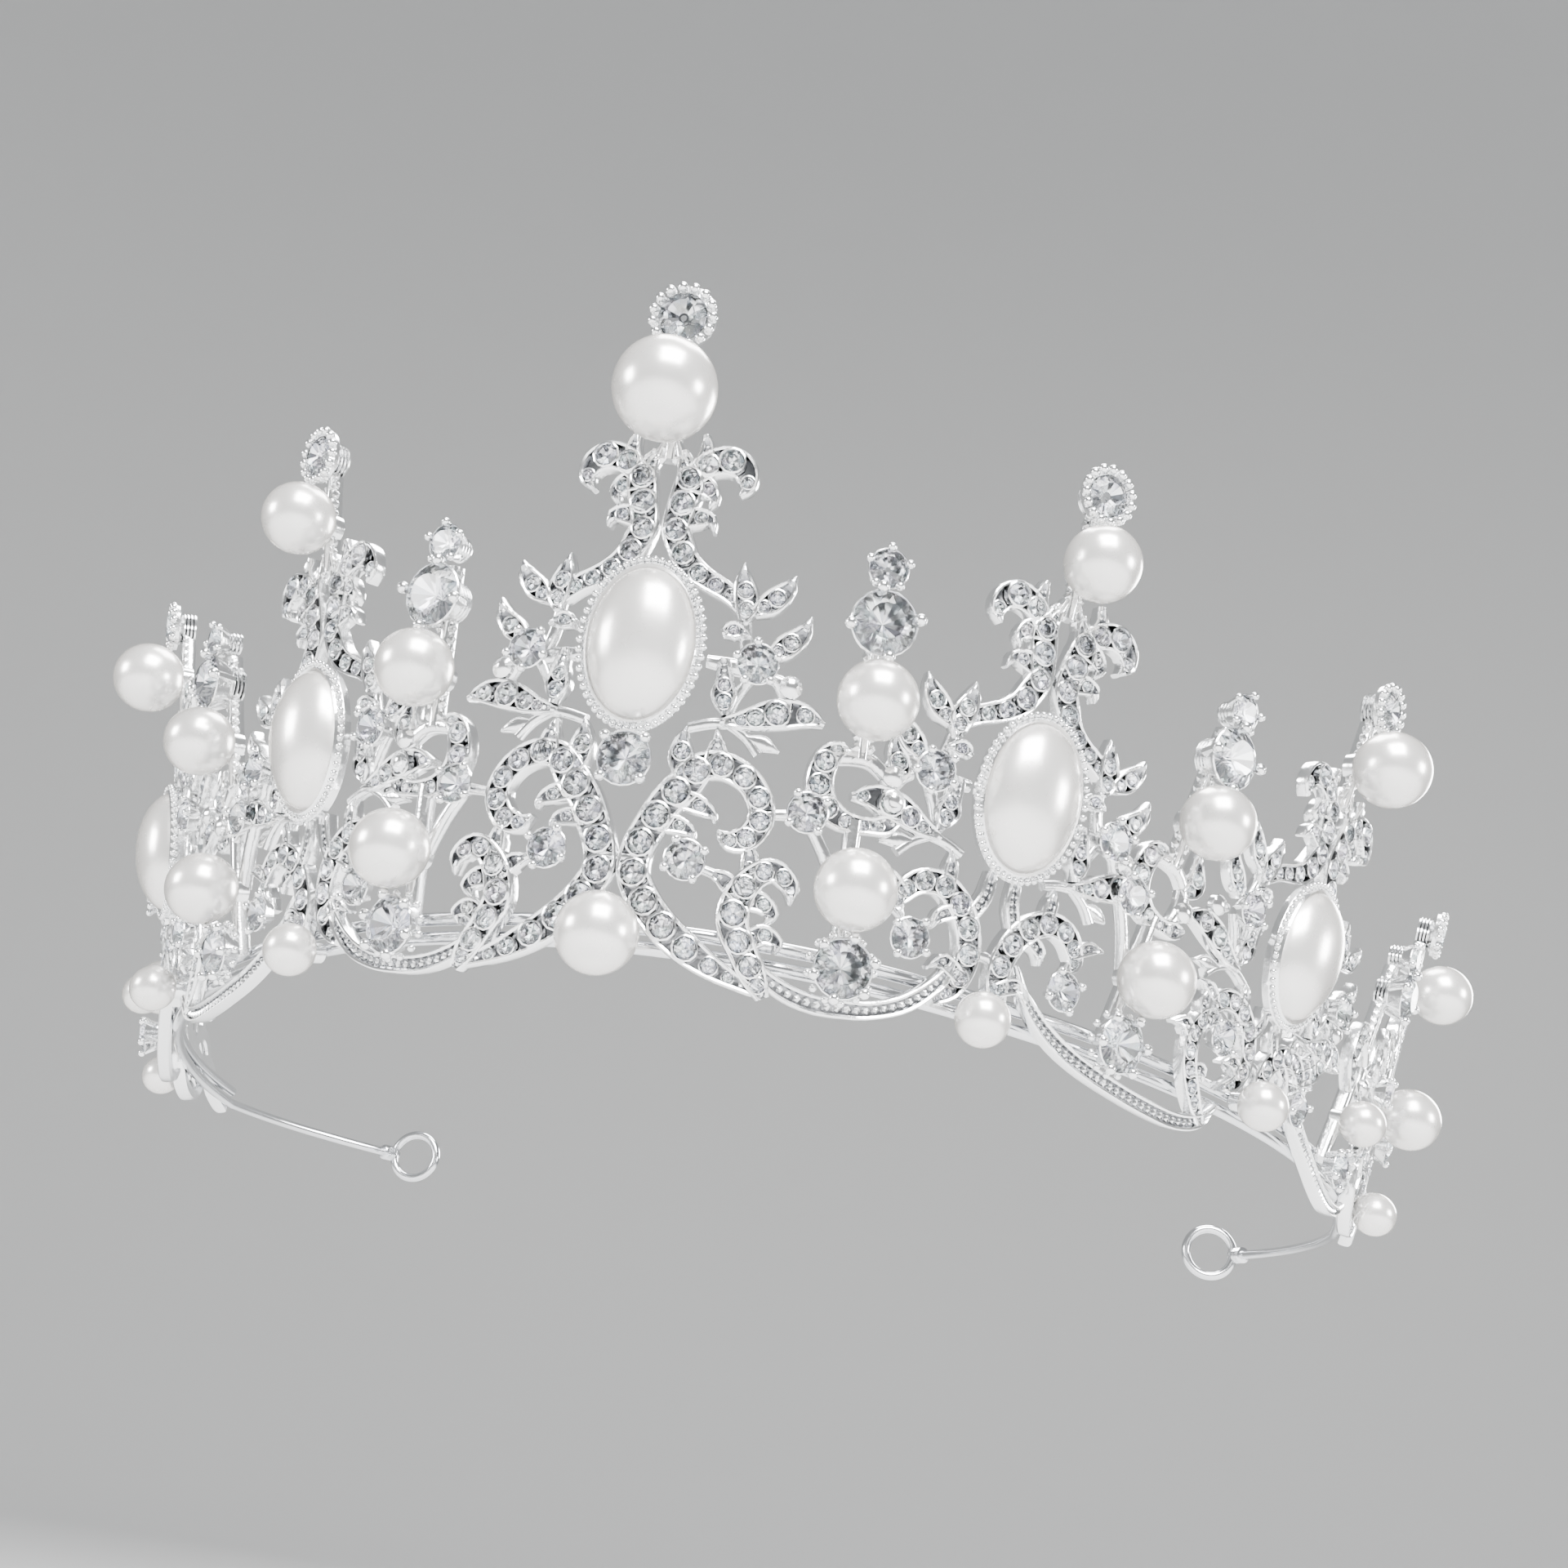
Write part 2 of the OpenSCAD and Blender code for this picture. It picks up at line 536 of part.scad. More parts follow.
module motif_stones(h, fitting) for (m = [1, -1]) {
    channel_stones(up(fit(crest_arm, m, 1), h), 4);
    channel_stones(fit(scroll, m * fitting[0], fitting[1]), 4);
    channel_stones(fit(acanthus, m * fitting[0], fitting[1]), 4);
    channel_stones(up(fit(big_leaf, m * fitting[2], 1), h), 4);
}
module centre_channel_stones() stand(centre_at) motif_stones(centre_oval_h, centre_fit);
module side_channel_stones() for (side = [-1, 1]) for (m = [motifs[1], motifs[2]])
    stand(m[0], side) motif_stones(m[1], m[2]);

// ---------- wire ----------
module rod(radius, angle) rotate_extrude(angle = angle) translate([radius, 0]) circle(d = wire_d);

module wire(h, tails) color(silver) {
    out = wire_out(h);
    z = h * cos(flare) - rest_z;
    translate([0, front_radius - depth_mid, z]) rotate([0, 0, part - 90 - front_angle])
        rod(front_radius + out, 2 * front_angle - 2 * part);
    for (m = [0, 1]) mirror([m, 0, 0])
        translate([side_centre()[0], side_centre()[1] - depth_mid, z]) {
            rotate([0, 0, front_angle - 90 + part]) rod(side_radius + out, side_turn() - 2 * part);
            rotate([0, 0, front_angle - 90]) bend(side_radius + out);
            rotate([0, 0, front_angle - 90 + side_turn()]) {
                bend(side_radius + out);
                if (tails) rotate([tail_rise, 0, 0]) rotate([0, 0, part])
                    rod(side_radius + out, tail_turn() - part);
            }
        }
}
part = 0.02;                      // degrees left between two stretches of rod, inside the bend
module bend(radius) translate([radius, 0, 0]) sphere(d = wire_d + 0.06);
function side_turn() = (wire_flat_s - arc_front()) / side_radius * 180 / PI;
function tail_turn() = tail_s / side_radius * 180 / PI;
module lower_wire() wire(wire_low_h, true);
module upper_wire() wire(wire_low_h + wire_gap, false);

// Where the lower rod ends; the upper one stops behind the last casting.
function tail_end(shift) = let (turn = turn_at(wire_flat_s), r = side_radius + wire_out(wire_low_h),
                           along = r * sin(tail_turn()), out = r * cos(tail_turn()))
    [side_centre()[0] + out * sin(turn) + along * cos(tail_rise) * cos(turn),
     side_centre()[1] - shift - out * cos(turn) + along * cos(tail_rise) * sin(turn),
     wire_low_h * cos(flare) - rest_z + along * sin(tail_rise)];

// End loop: a round eye of the same wire, and the wrapped neck that holds the rod's end.
module end_loop(side) color(silver) mirror([side < 0 ? 1 : 0, 0, 0]) translate(tail_end(depth_mid)) {
    rotate([0, 0, turn_at(wire_flat_s + tail_s)]) rotate([0, 90, 0])
        translate([0, 0, -neck_l * 0.7]) cylinder(d = neck_od, h = neck_l);
    translate([-loop_d / 2 - neck_od / 2 + wire_d, 0, 0]) rotate([90, 0, 0])
        rotate_extrude() translate([loop_d / 2 - wire_d / 2, 0]) circle(d = wire_d);
}

centre_casting();
inner_casting(-1);  // inner_left_casting
inner_casting(1);  // inner_right_casting
outer_casting(-1);  // outer_left_casting
outer_casting(1);  // outer_right_casting
end_casting(-1);  // end_left_casting
end_casting(1);  // end_right_casting
stand(inner_spike_at, -1) spike(scallop);  // inner_left_spike
stand(inner_spike_at, 1) spike(scallop);  // inner_right_spike
stand(outer_spike_at, -1) spike(scallop);  // outer_left_spike
stand(outer_spike_at, 1) spike(scallop);  // outer_right_spike
stand(end_spike_at, -1) end_spike();  // end_left_spike
stand(end_spike_at, 1) end_spike();  // end_right_spike
oval_bezel(centre_at, 1, centre_oval_h);  // centre_oval_bezel
oval_bezel(inner_at, -1, inner_oval_h);  // inner_left_oval_bezel
oval_bezel(inner_at, 1, inner_oval_h);  // inner_right_oval_bezel
oval_bezel(outer_at, -1, outer_oval_h);  // outer_left_oval_bezel
oval_bezel(outer_at, 1, outer_oval_h);  // outer_right_oval_bezel
oval_pearl(centre_at, 1, centre_oval_h);  // centre_oval_pearl
oval_pearl(inner_at, -1, inner_oval_h);  // inner_left_oval_pearl
oval_pearl(inner_at, 1, inner_oval_h);  // inner_right_oval_pearl
oval_pearl(outer_at, -1, outer_oval_h);  // outer_left_oval_pearl
oval_pearl(outer_at, 1, outer_oval_h);  // outer_right_oval_pearl
crest_pearl(centre_at, 1, centre_oval_h, crest_pearl_d);  // centre_crest_pearl
crest_pearl(inner_at, -1, inner_oval_h, inner_pearl_d);  // inner_left_crest_pearl
crest_pearl(inner_at, 1, inner_oval_h, inner_pearl_d);  // inner_right_crest_pearl
crest_pearl(outer_at, -1, outer_oval_h, outer_pearl_d);  // outer_left_crest_pearl
crest_pearl(outer_at, 1, outer_oval_h, outer_pearl_d);  // outer_right_crest_pearl
end_crest_pearls(-1);  // end_left_crest_pearls
end_crest_pearls(1);  // end_right_crest_pearls
spike_pearls(inner_spike_at, -1);  // inner_left_spike_pearls
spike_pearls(inner_spike_at, 1);  // inner_right_spike_pearls
spike_pearls(outer_spike_at, -1);  // outer_left_spike_pearls
spike_pearls(outer_spike_at, 1);  // outer_right_spike_pearls
end_spike_pearl(-1);  // end_left_spike_pearl
end_spike_pearl(1);  // end_right_spike_pearl
base_pearls();
pearl_pegs();
crest_cups();
crest_stones();
tip_cups();
tip_stones();
spike_cups();
spike_stones();
low_cups();
low_stones();
round_cups();
round_stones();
under_oval_cup();
under_oval_stone();
centre_channel_stones();
side_channel_stones();
upper_wire();
lower_wire();
end_loop(-1);  // left_end_loop
end_loop(1);  // right_end_loop
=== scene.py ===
import bpy
import bmesh
import math
from mathutils import Matrix, Vector


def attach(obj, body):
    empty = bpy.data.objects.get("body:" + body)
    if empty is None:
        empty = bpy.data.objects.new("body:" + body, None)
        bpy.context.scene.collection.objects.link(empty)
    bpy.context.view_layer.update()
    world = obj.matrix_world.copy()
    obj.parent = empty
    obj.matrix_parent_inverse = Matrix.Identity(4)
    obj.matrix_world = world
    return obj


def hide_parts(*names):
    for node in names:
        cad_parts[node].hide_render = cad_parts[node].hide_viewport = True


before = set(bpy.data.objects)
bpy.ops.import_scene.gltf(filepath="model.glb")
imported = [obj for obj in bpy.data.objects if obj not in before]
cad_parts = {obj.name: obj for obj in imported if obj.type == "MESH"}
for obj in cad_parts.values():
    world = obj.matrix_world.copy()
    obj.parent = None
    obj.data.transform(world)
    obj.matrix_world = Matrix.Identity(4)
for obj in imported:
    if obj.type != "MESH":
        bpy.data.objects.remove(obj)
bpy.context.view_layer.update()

# Sizes in millimetres; the arch, the wire and the castings' thickness are the CAD part's own
sizes = {
    "frontRadius": 54, "frontAngle": 31.5, "sideRadius": 112, "flare": 12.5,
    "wire": 1.4, "wireLow": 4, "wireGap": 1.9, "flatArc": 138, "tailArc": 50, "tailRise": 5,
    "loop": 9, "cast": 1.7, "floor": 0.95, "rim": 0.4,
    "depthMid": 61.693, "lift": 0.945,
}

# Each unit's axis: arc length from the middle, lean in degrees, raise
units = {
    "centre": (0, 0, 0), "inner": (35.3, 2, 0.3), "outer": (74.2, 10, 2.3), "end": (119, 10, 1),
    "innerSpike": (21.6, -4, 0.3), "outerSpike": (51, 11, 1), "endSpike": (97, 20, 1.2),
}

look = {
    # the recess colour is painted shade, mixed into the plated metal's hollows
    "silver": (0.94, 0.945, 0.95), "recessShade": (0.16, 0.165, 0.18),
    # the channel floor's darker tint is painted shade
    "floor": (0.52, 0.53, 0.55), "wire": (0.72, 0.73, 0.75),
    # foilShade, the darker foil on every other facet behind a stone, is painted shade
    "foil": (0.99, 0.99, 1), "foilShade": (0.52, 0.54, 0.57),
    # pearlEdge, the pearl's darker, warmer rim, is partly the nacre's warmer tone and partly painted shade
    "pearl": (0.85, 0.835, 0.81), "pearlEdge": (0.46, 0.415, 0.36), "stage": (0.72, 0.72, 0.715),
}

mm = 0.001  # drawings are in millimetres, the scene in metres

# The rim in plan: a tight front stretch and wider sides
frontArc = math.radians(sizes["frontAngle"]) * sizes["frontRadius"]
flare = math.radians(sizes["flare"])


def turnAt(s):
    if s < 0:
        return -turnAt(-s)
    if s <= frontArc:
        return s / sizes["frontRadius"]
    return math.radians(sizes["frontAngle"]) + (s - frontArc) / sizes["sideRadius"]


def radiusAt(s):
    return sizes["frontRadius"] if abs(s) <= frontArc else sizes["sideRadius"]


def rimAt(s):
    if s < 0:
        back = rimAt(-s)
        return Vector((-back.x, back.y, 0))
    turn = turnAt(s)
    if s <= frontArc:
        r = sizes["frontRadius"]
        return Vector((r * math.sin(turn), r * (1 - math.cos(turn)), 0))
    gap = sizes["frontRadius"] - sizes["sideRadius"]
    edge = math.radians(sizes["frontAngle"])
    middle = Vector((gap * math.sin(edge), sizes["frontRadius"] - gap * math.cos(edge), 0))
    r = sizes["sideRadius"]
    return middle + Vector((r * math.sin(turn), -r * math.cos(turn), 0))


# Arc length, height up the slope and distance out of it, in millimetres, become a point in metres
def onArch(s, h, n):
    turn = turnAt(s)
    out = Vector((math.sin(turn), -math.cos(turn), 0))
    slope = out * math.sin(flare) + Vector((0, 0, math.cos(flare)))
    face = out * math.cos(flare) - Vector((0, 0, math.sin(flare)))
    p = rimAt(s) + slope * h + face * n + Vector((0, -sizes["depthMid"], sizes["lift"]))
    return p * mm


bend = {"middle": 0.5, "nudge": 0.05}  # depth at which a casting keeps its length; step for directions


# One unit's drawing plane, bent to the arch: x along it, h up it, n out of it
class Plate:
    def __init__(self, unit, side=1):
        self.start, lean, self.up = units[unit]
        self.lean, self.side = math.radians(lean), side

    def at(self, x, h, n):
        along = x * math.cos(self.lean) + h * math.sin(self.lean)
        rise = self.up + h * math.cos(self.lean) - x * math.sin(self.lean)
        s = self.start
        wide = 0.5 * (radiusAt(s) + radiusAt(s + along))
        s += along * wide / (wide + rise * math.sin(flare) + bend["middle"])
        p = onArch(s, rise, n)
        return Vector((p.x * self.side, p.y, p.z))

    def frame(self, x, h, n):
        here, step = self.at(x, h, n), bend["nudge"]
        right = (self.at(x + step, h, n) - here).normalized()
        up = (self.at(x, h + step, n) - here).normalized()
        out = (self.at(x, h, n + step) - here).normalized()
        return Matrix(((right.x, up.x, out.x, here.x), (right.y, up.y, out.y, here.y),
                       (right.z, up.z, out.z, here.z), (0, 0, 0, 1)))


# One shader value; maths on it makes Math nodes
class Socket:
    def __init__(self, tree, out):
        self.tree, self.out = tree, out

    def _math(self, kind, other, flip=False):
        n = self.tree.nodes.new("ShaderNodeMath")
        n.operation = kind
        for slot, value in zip((1, 0) if flip else (0, 1), (self, other)):
            if isinstance(value, Socket):
                self.tree.links.new(value.out, n.inputs[slot])
            else:
                n.inputs[slot].default_value = value
        return Socket(self.tree, n.outputs[0])

    def __add__(self, o): return self._math("ADD", o)
    def __radd__(self, o): return self._math("ADD", o, True)
    def __sub__(self, o): return self._math("SUBTRACT", o)
    def __rsub__(self, o): return self._math("SUBTRACT", o, True)
    def __mul__(self, o): return self._math("MULTIPLY", o)
    def __rmul__(self, o): return self._math("MULTIPLY", o, True)
    def __truediv__(self, o): return self._math("DIVIDE", o)
    def __rtruediv__(self, o): return self._math("DIVIDE", o, True)
    def __pow__(self, o): return self._math("POWER", o)
    def __rpow__(self, o): return self._math("POWER", o, True)


# A new material and its Principled shader
class Paint:
    def __init__(self, name):
        self.mat = bpy.data.materials.new(name)
        self.mat.use_nodes = True
        self.tree = self.mat.node_tree
        self.shader = self.tree.nodes["Principled BSDF"]

    def node(self, kind, settings=None, inputs=None, output=0):
        n = self.tree.nodes.new(kind)
        for key, value in (settings or {}).items():
            setattr(n, key, value)
        for key, value in (inputs or {}).items():
            if isinstance(value, Socket):
                self.tree.links.new(value.out, n.inputs[key])
            else:
                n.inputs[key].default_value = value
        return Socket(self.tree, n.outputs[output])

    def mix(self, share, a, b):  # sockets 6 and 7 are the colours, output 2 the mixed one
        return self.node("ShaderNodeMix", {"data_type": "RGBA"}, {0: share, 6: a, 7: b}, 2)

    def set(self, **values):
        for key, value in values.items():
            slot = self.shader.inputs[key.replace("_", " ")]
            if isinstance(value, Socket):
                self.tree.links.new(value.out, slot)
            else:
                slot.default_value = value
        return self.mat


def rgba(c):
    return (*c, 1)


# grain, roughness clouds, and the pointiness range over which the hollows get painted shade
plating = {"grainScale": 2600, "grainDepth": 0.0001, "cloudScale": 170, "cloudRough": 0.14,
           "paintedShadeFrom": 0.44, "paintedShadeTo": 0.525}


def silverMaterial(name, tint, grain, rough, shade=0.6):
    p = Paint(name)
    where = p.node("ShaderNodeTexCoord", output="Object")
    fine = p.node("ShaderNodeTexNoise", None, {"Vector": where, "Scale": plating["grainScale"], "Detail": 3})
    cloud = p.node("ShaderNodeTexNoise", None, {"Vector": where, "Scale": plating["cloudScale"], "Detail": 3})
    hollow = p.node("ShaderNodeNewGeometry", output="Pointiness")
    # painted shade: hollow, low-pointiness places are mixed towards the dark recess colour
    paintedShadeMask = p.node("ShaderNodeMapRange", None, {"Value": hollow, "From Min": plating["paintedShadeFrom"],
                                               "From Max": plating["paintedShadeTo"], "To Min": 1.0, "To Max": 0.0})
    bump = p.node("ShaderNodeBump", None, {"Height": fine, "Strength": grain,
                                           "Distance": plating["grainDepth"]})
    colour = p.mix(paintedShadeMask * shade, rgba(tint), rgba(look["recessShade"]))
    p.set(Base_Color=colour, Metallic=1.0, Roughness=cloud * plating["cloudRough"] + rough, Normal=bump)
    return p.mat


nacre = {"edgeBlend": 0.35, "edgePower": 1.3, "edgeShare": 0.85, "cloudScale": 240, "veil": (1.0, 0.97, 0.98),
         "veilShare": 0.15, "rippleScale": 420, "ripple": 0.12, "rippleDepth": 0.0002, "rough": 0.22,
         "cloudRough": 0.1, "metallic": 0.6, "coat": 0.6, "coatRough": 0.1, "coatBend": 1.55}


def pearlMaterial():
    p = Paint("pearl_nacre")
    where = p.node("ShaderNodeTexCoord", output="Object")
    edge = p.node("ShaderNodeLayerWeight", None, {"Blend": nacre["edgeBlend"]}, "Facing")
    cloud = p.node("ShaderNodeTexNoise", None, {"Vector": where, "Scale": nacre["cloudScale"], "Detail": 4})
    # towards the rim, as seen from the camera, the pearl turns darker and warmer: partly the nacre's warmer
    # tone, partly painted shade
    rimShadedTone = p.mix(edge ** nacre["edgePower"] * nacre["edgeShare"], rgba(look["pearl"]), rgba(look["pearlEdge"]))
    veil = p.mix(cloud * nacre["veilShare"], rimShadedTone, rgba(nacre["veil"]))
    ripple = p.node("ShaderNodeTexNoise", None, {"Vector": where, "Scale": nacre["rippleScale"], "Detail": 2})
    bump = p.node("ShaderNodeBump", None, {"Height": ripple, "Strength": nacre["ripple"],
                                           "Distance": nacre["rippleDepth"]})
    p.set(Base_Color=veil, Roughness=cloud * nacre["cloudRough"] + nacre["rough"],
          Metallic=nacre["metallic"], Coat_Weight=nacre["coat"], Coat_Roughness=nacre["coatRough"],
          Coat_IOR=nacre["coatBend"], Normal=bump)
    return p.mat


crystal = {"hazeScale": 700, "hazeRough": 0.008, "haze": (0.93, 0.96, 1.0), "bend": 1.48}


def glassMaterial():
    p = Paint("crystal_glass")
    where = p.node("ShaderNodeTexCoord", output="Object")
    haze = p.node("ShaderNodeTexNoise", None, {"Vector": where, "Scale": crystal["hazeScale"], "Detail": 2})
    p.set(Base_Color=p.mix(haze, (1, 1, 1, 1), rgba(crystal["haze"])), Roughness=haze * crystal["hazeRough"],
          IOR=crystal["bend"], Transmission_Weight=1.0)
    return p.mat


foilLook = {"spotScale": 900, "spotShare": 0.05, "rough": 0.12}


def foilMaterial(name, tint):
    p = Paint(name)
    where = p.node("ShaderNodeTexCoord", output="Object")
    spots = p.node("ShaderNodeTexVoronoi", None, {"Vector": where, "Scale": foilLook["spotScale"]}, "Color")
    p.set(Base_Color=p.mix(foilLook["spotShare"], rgba(tint), spots), Metallic=1.0, Roughness=foilLook["rough"])
    return p.mat


# name, tint, grain, roughness, how dark the painted shade in the recesses is
silver = silverMaterial("silver_plating", look["silver"], 0.25, 0.09, 0.92)
# channel floor: rougher and grainier silver whose darker tint is painted shade in the channels
floorSilver = silverMaterial("channel_floor", look["floor"], 0.8, 0.2, 0.9)
wireSilver = silverMaterial("wire_plating", look["wire"], 0.06, 0.06)
pearlSkin = pearlMaterial()
glass = glassMaterial()
foil = foilMaterial("foil_backing", look["foil"])
# darker foil for every other facet of a stone's point: painted shade
foilShade = foilMaterial("foil_shade", look["foilShade"])
print("made finishes")


# A piece under construction: small parts are made on their own and gathered here
class Work:
    def __init__(self, materials):
        self.bm, self.materials = bmesh.new(), materials

    def add(self, part, matrix=None):
        if matrix is not None:
            part.transform(matrix)
        mesh = bpy.data.meshes.new("part")
        part.to_mesh(mesh)
        part.free()
        self.bm.from_mesh(mesh)
        bpy.data.meshes.remove(mesh)

    def stamp(self, template, matrix):
        mesh = template.copy()
        mesh.transform(matrix)
        self.bm.from_mesh(mesh)
        bpy.data.meshes.remove(mesh)

    def finish(self, name, nodes, slotName, sharp=35):
        bm = self.bm
        bmesh.ops.recalc_face_normals(bm, faces=bm.faces)
        for f in bm.faces:
            f.smooth = True
        for e in bm.edges:
            e.smooth = len(e.link_faces) == 2 and e.calc_face_angle(3) < math.radians(sharp)
        mesh = bpy.data.meshes.new(name)
        bm.to_mesh(mesh)
        bm.free()
        for m in self.materials:
            mesh.materials.append(m)
        obj = bpy.data.objects.new(name, mesh)
        bpy.context.scene.collection.objects.link(obj)
        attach(obj, "root")
        if nodes:
            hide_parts(*nodes)


# Catmull-Rom curve through [x, h, width] points
def smooth(points, steps):
    out = []
    for i in range(len(points) - 1):
        a, b = points[max(i - 1, 0)], points[i]
        c, d = points[i + 1], points[min(i + 2, len(points) - 1)]
        for k in range(steps):
            t = k / steps
            out.append([0.5 * (2 * q + (r - p) * t + (2 * p - 5 * q + 4 * r - s) * t * t
                               + (3 * q - p - 3 * r + s) * t ** 3)
                        for p, q, r, s in zip(a, b, c, d)])
    return out + [list(points[-1])]


strip = {"channelLeast": 1.25, "thin": 0.8, "floorEdges": slice(6, 8)}  # widths, and a ring's floor edges


# Half cross-section of a casting of width w: [sideways, out] from the back to the middle
def section(w, kind, t):
    half = w / 2
    if kind == "channel" and w > strip["channelLeast"]:
        rim = min(sizes["rim"], 0.28 * w)
        low = max(sizes["floor"], t - 0.32 * w)
        return [(half * 0.72, 0), (half, 0.3), (half + 0.04, t * 0.75), (half - 0.06, t - 0.06),
                (half - rim * 0.5, t + 0.04), (half - rim, t - 0.08), (half - rim - 0.1, low),
                (0, low - 0.02)]
    return [(half * 0.72, 0), (half, 0.3), (half, t * 0.55), (half * 0.86, t * 0.8),
            (half * 0.6, t * 0.93), (half * 0.4, t * 0.98), (half * 0.2, t), (0, t)]


# Sweeps a casting's cross-section along a curve, ring by ring
def ribbon(work, plate, points, kind="channel", t=None, base=0, steps=4):
    t = t or sizes["cast"]
    path, thin = smooth(points, steps), strip["thin"]
    rings, wide = [], [kind == "channel" and q[2] > strip["channelLeast"] for q in path]
    for i, q in enumerate(path):
        a, b = path[max(i - 1, 0)], path[min(i + 1, len(path) - 1)]
        run = Vector((b[0] - a[0], b[1] - a[1]))
        across = Vector((-run.y, run.x)).normalized()
        half = section(max(q[2], 0.2), kind, t)
        if q[2] < thin:
            half = [(x, n * (0.55 + 0.45 * q[2] / thin)) for x, n in half]
        loop = [(x, n) for x, n in half] + [(-x, n) for x, n in half[-2::-1]]
        rings.append([plate.at(q[0] + across.x * x, q[1] + across.y * x, base + n) for x, n in loop])
    sweep(work, rings, wide)
    return path


# A new circle's corners, in order round it
def circleCorners(bm, count, capped=False):
    made = bmesh.ops.create_circle(bm, cap_ends=capped, segments=count, radius=mm)["verts"]
    return sorted(made, key=lambda v: math.atan2(v.co.y, v.co.x))


# Extrudes a ring of corners from place to place and caps both ends; a wide ring's floor has its own material,
# rougher and grainier, whose darker tint is painted shade
def sweep(work, rings, wide=None):
    bm = bmesh.new()
    count = len(rings[0])
    verts = circleCorners(bm, count, True)
    for v, p in zip(verts, rings[0]):
        v.co = p
    edges = [bm.edges.get((verts[i], verts[(i + 1) % count])) for i in range(count)]
    for i, ring in enumerate(rings[1:]):
        new = set(bmesh.ops.extrude_edge_only(bm, edges=edges)["geom"])
        if wide and wide[i] and wide[i + 1]:
            for e in edges[strip["floorEdges"]]:
                for f in e.link_faces:
                    f.material_index = int(f in new)
        verts = [next(e.other_vert(v) for e in v.link_edges if e.other_vert(v) in new) for v in verts]
        for v, p in zip(verts, ring):
            v.co = p
        edges = [bm.edges.get((verts[i], verts[(i + 1) % count])) for i in range(count)]
    bmesh.ops.contextual_create(bm, geom=edges)
    work.add(bm)


touching = 1e-7  # metres between points that are one point on an axis


# Spins a profile of [radius, height] in millimetres about the matrix's own axis
def lathe(work, matrix, profile, segments):
    bm = bmesh.new()
    line = [bm.verts.new(Vector((r * mm, 0, z * mm))) for r, z in profile]
    edges = [bm.edges.new(pair) for pair in zip(line, line[1:])]
    bmesh.ops.spin(bm, geom=line + edges, axis=(0, 0, 1), cent=(0, 0, 0), steps=segments,
                   angle=math.tau, use_merge=True)
    onAxis = [v for v in bm.verts if v.co.xy.length < touching]
    bmesh.ops.remove_doubles(bm, verts=onAxis, dist=touching)
    work.add(bm, matrix)


templates = {}


def ball(work, matrix, d, detail=1):
    if detail not in templates:
        bm = bmesh.new()
        bmesh.ops.create_icosphere(bm, subdivisions=detail, radius=0.5 * mm)
        templates[detail] = bpy.data.meshes.new("ball")
        bm.to_mesh(templates[detail])
        bm.free()
    work.stamp(templates[detail], matrix @ Matrix.Diagonal((d, d, d, 1)))


# A cut stone's rows from the table down: [radius, height, turn in facets], and the depth of its point
brilliant = {"rows": [(0.56, 0.34, 0.5), (0.81, 0.2, 0), (1, 0.02, 0.5), (0.98, -0.06, 0.5)], "point": -0.3}


# Foil-backed brilliant: table, star and kite facets, girdle, and a mirrored point behind
def gem(work, matrix, d, sides, turn):
    key = "gem%d" % sides
    if key not in templates:
        bm = bmesh.new()
        rows = []
        for radius, z, shift in brilliant["rows"]:
            row = circleCorners(bm, sides)
            for k, v in enumerate(row):
                a = math.tau * (k + shift) / sides
                v.co = Vector((radius * math.cos(a), radius * math.sin(a), z)) * mm / 2
            rows.append(row)
        tip = bm.verts.new(Vector((0, 0, brilliant["point"] * mm)))
        table, star, girdle, low = rows
        bm.faces.new(table)
        for k in range(sides):
            j = (k + 1) % sides
            for corners in ((table[k], star[j], table[j]), (star[j], table[k], girdle[k]),
                            (star[j], girdle[j], table[j]), (star[j], girdle[k], girdle[j]),
                            (girdle[k], low[k], low[j], girdle[j])):
                bm.faces.new(corners)
            # every other facet of the point takes the darker foil: painted shade for the facets' light and dark
            # pattern
            bm.faces.new((low[k], tip, low[j])).material_index = 1 + k % 2
        templates[key] = bpy.data.meshes.new("gem")
        bm.to_mesh(templates[key])
        bm.free()
    work.stamp(templates[key], matrix @ Matrix.Rotation(turn, 4, "Z") @ Matrix.Diagonal((d, d, d, 1)))


# A straight bar between two points
def rod(work, a, b, d, segments=6):
    run, bm = b - a, bmesh.new()
    bmesh.ops.create_cone(bm, cap_ends=True, segments=segments, radius1=d / 2 * mm,
                          radius2=d / 2 * mm, depth=run.length)
    work.add(bm, Matrix.Translation((a + b) / 2) @ run.to_track_quat("Z", "Y").to_matrix().to_4x4())


# Stones in their settings; heights are above the castings' backs, shares are of the stone's width
seat = sizes["cast"] - 0.18
claw = {"foot": 0.36, "head": 0.53, "rod": 0.128, "rodLeast": 0.15, "ball": 0.15, "ballLeast": 0.34}
flutes = {"count": 4, "pitch": 0.45, "back": -1.5, "top": 0.4}
# [share of the width, width added, height as a share]
cupWall = [(0, 0, 0), (0.3, 0, 0), (0.44, 0, 0.22), (0.5, 0.14, 0.36), (0.5, 0.02, 0.38), (0.42, 0, 0.24),
           (0.2, 0, 0.04), (0, 0, 0.04)]
crestWall = [(0, 0, 0), (0.4, 0, 0), (0.5, 0.9, 0.18), (0.5, 1.0, 0.3), (0.5, 0.1, 0.34), (0.44, 0, 0.2),
             (0, 0, 0.06)]


def grown(wall, d):
    return [(share * d + more, z * d) for share, more, z in wall]


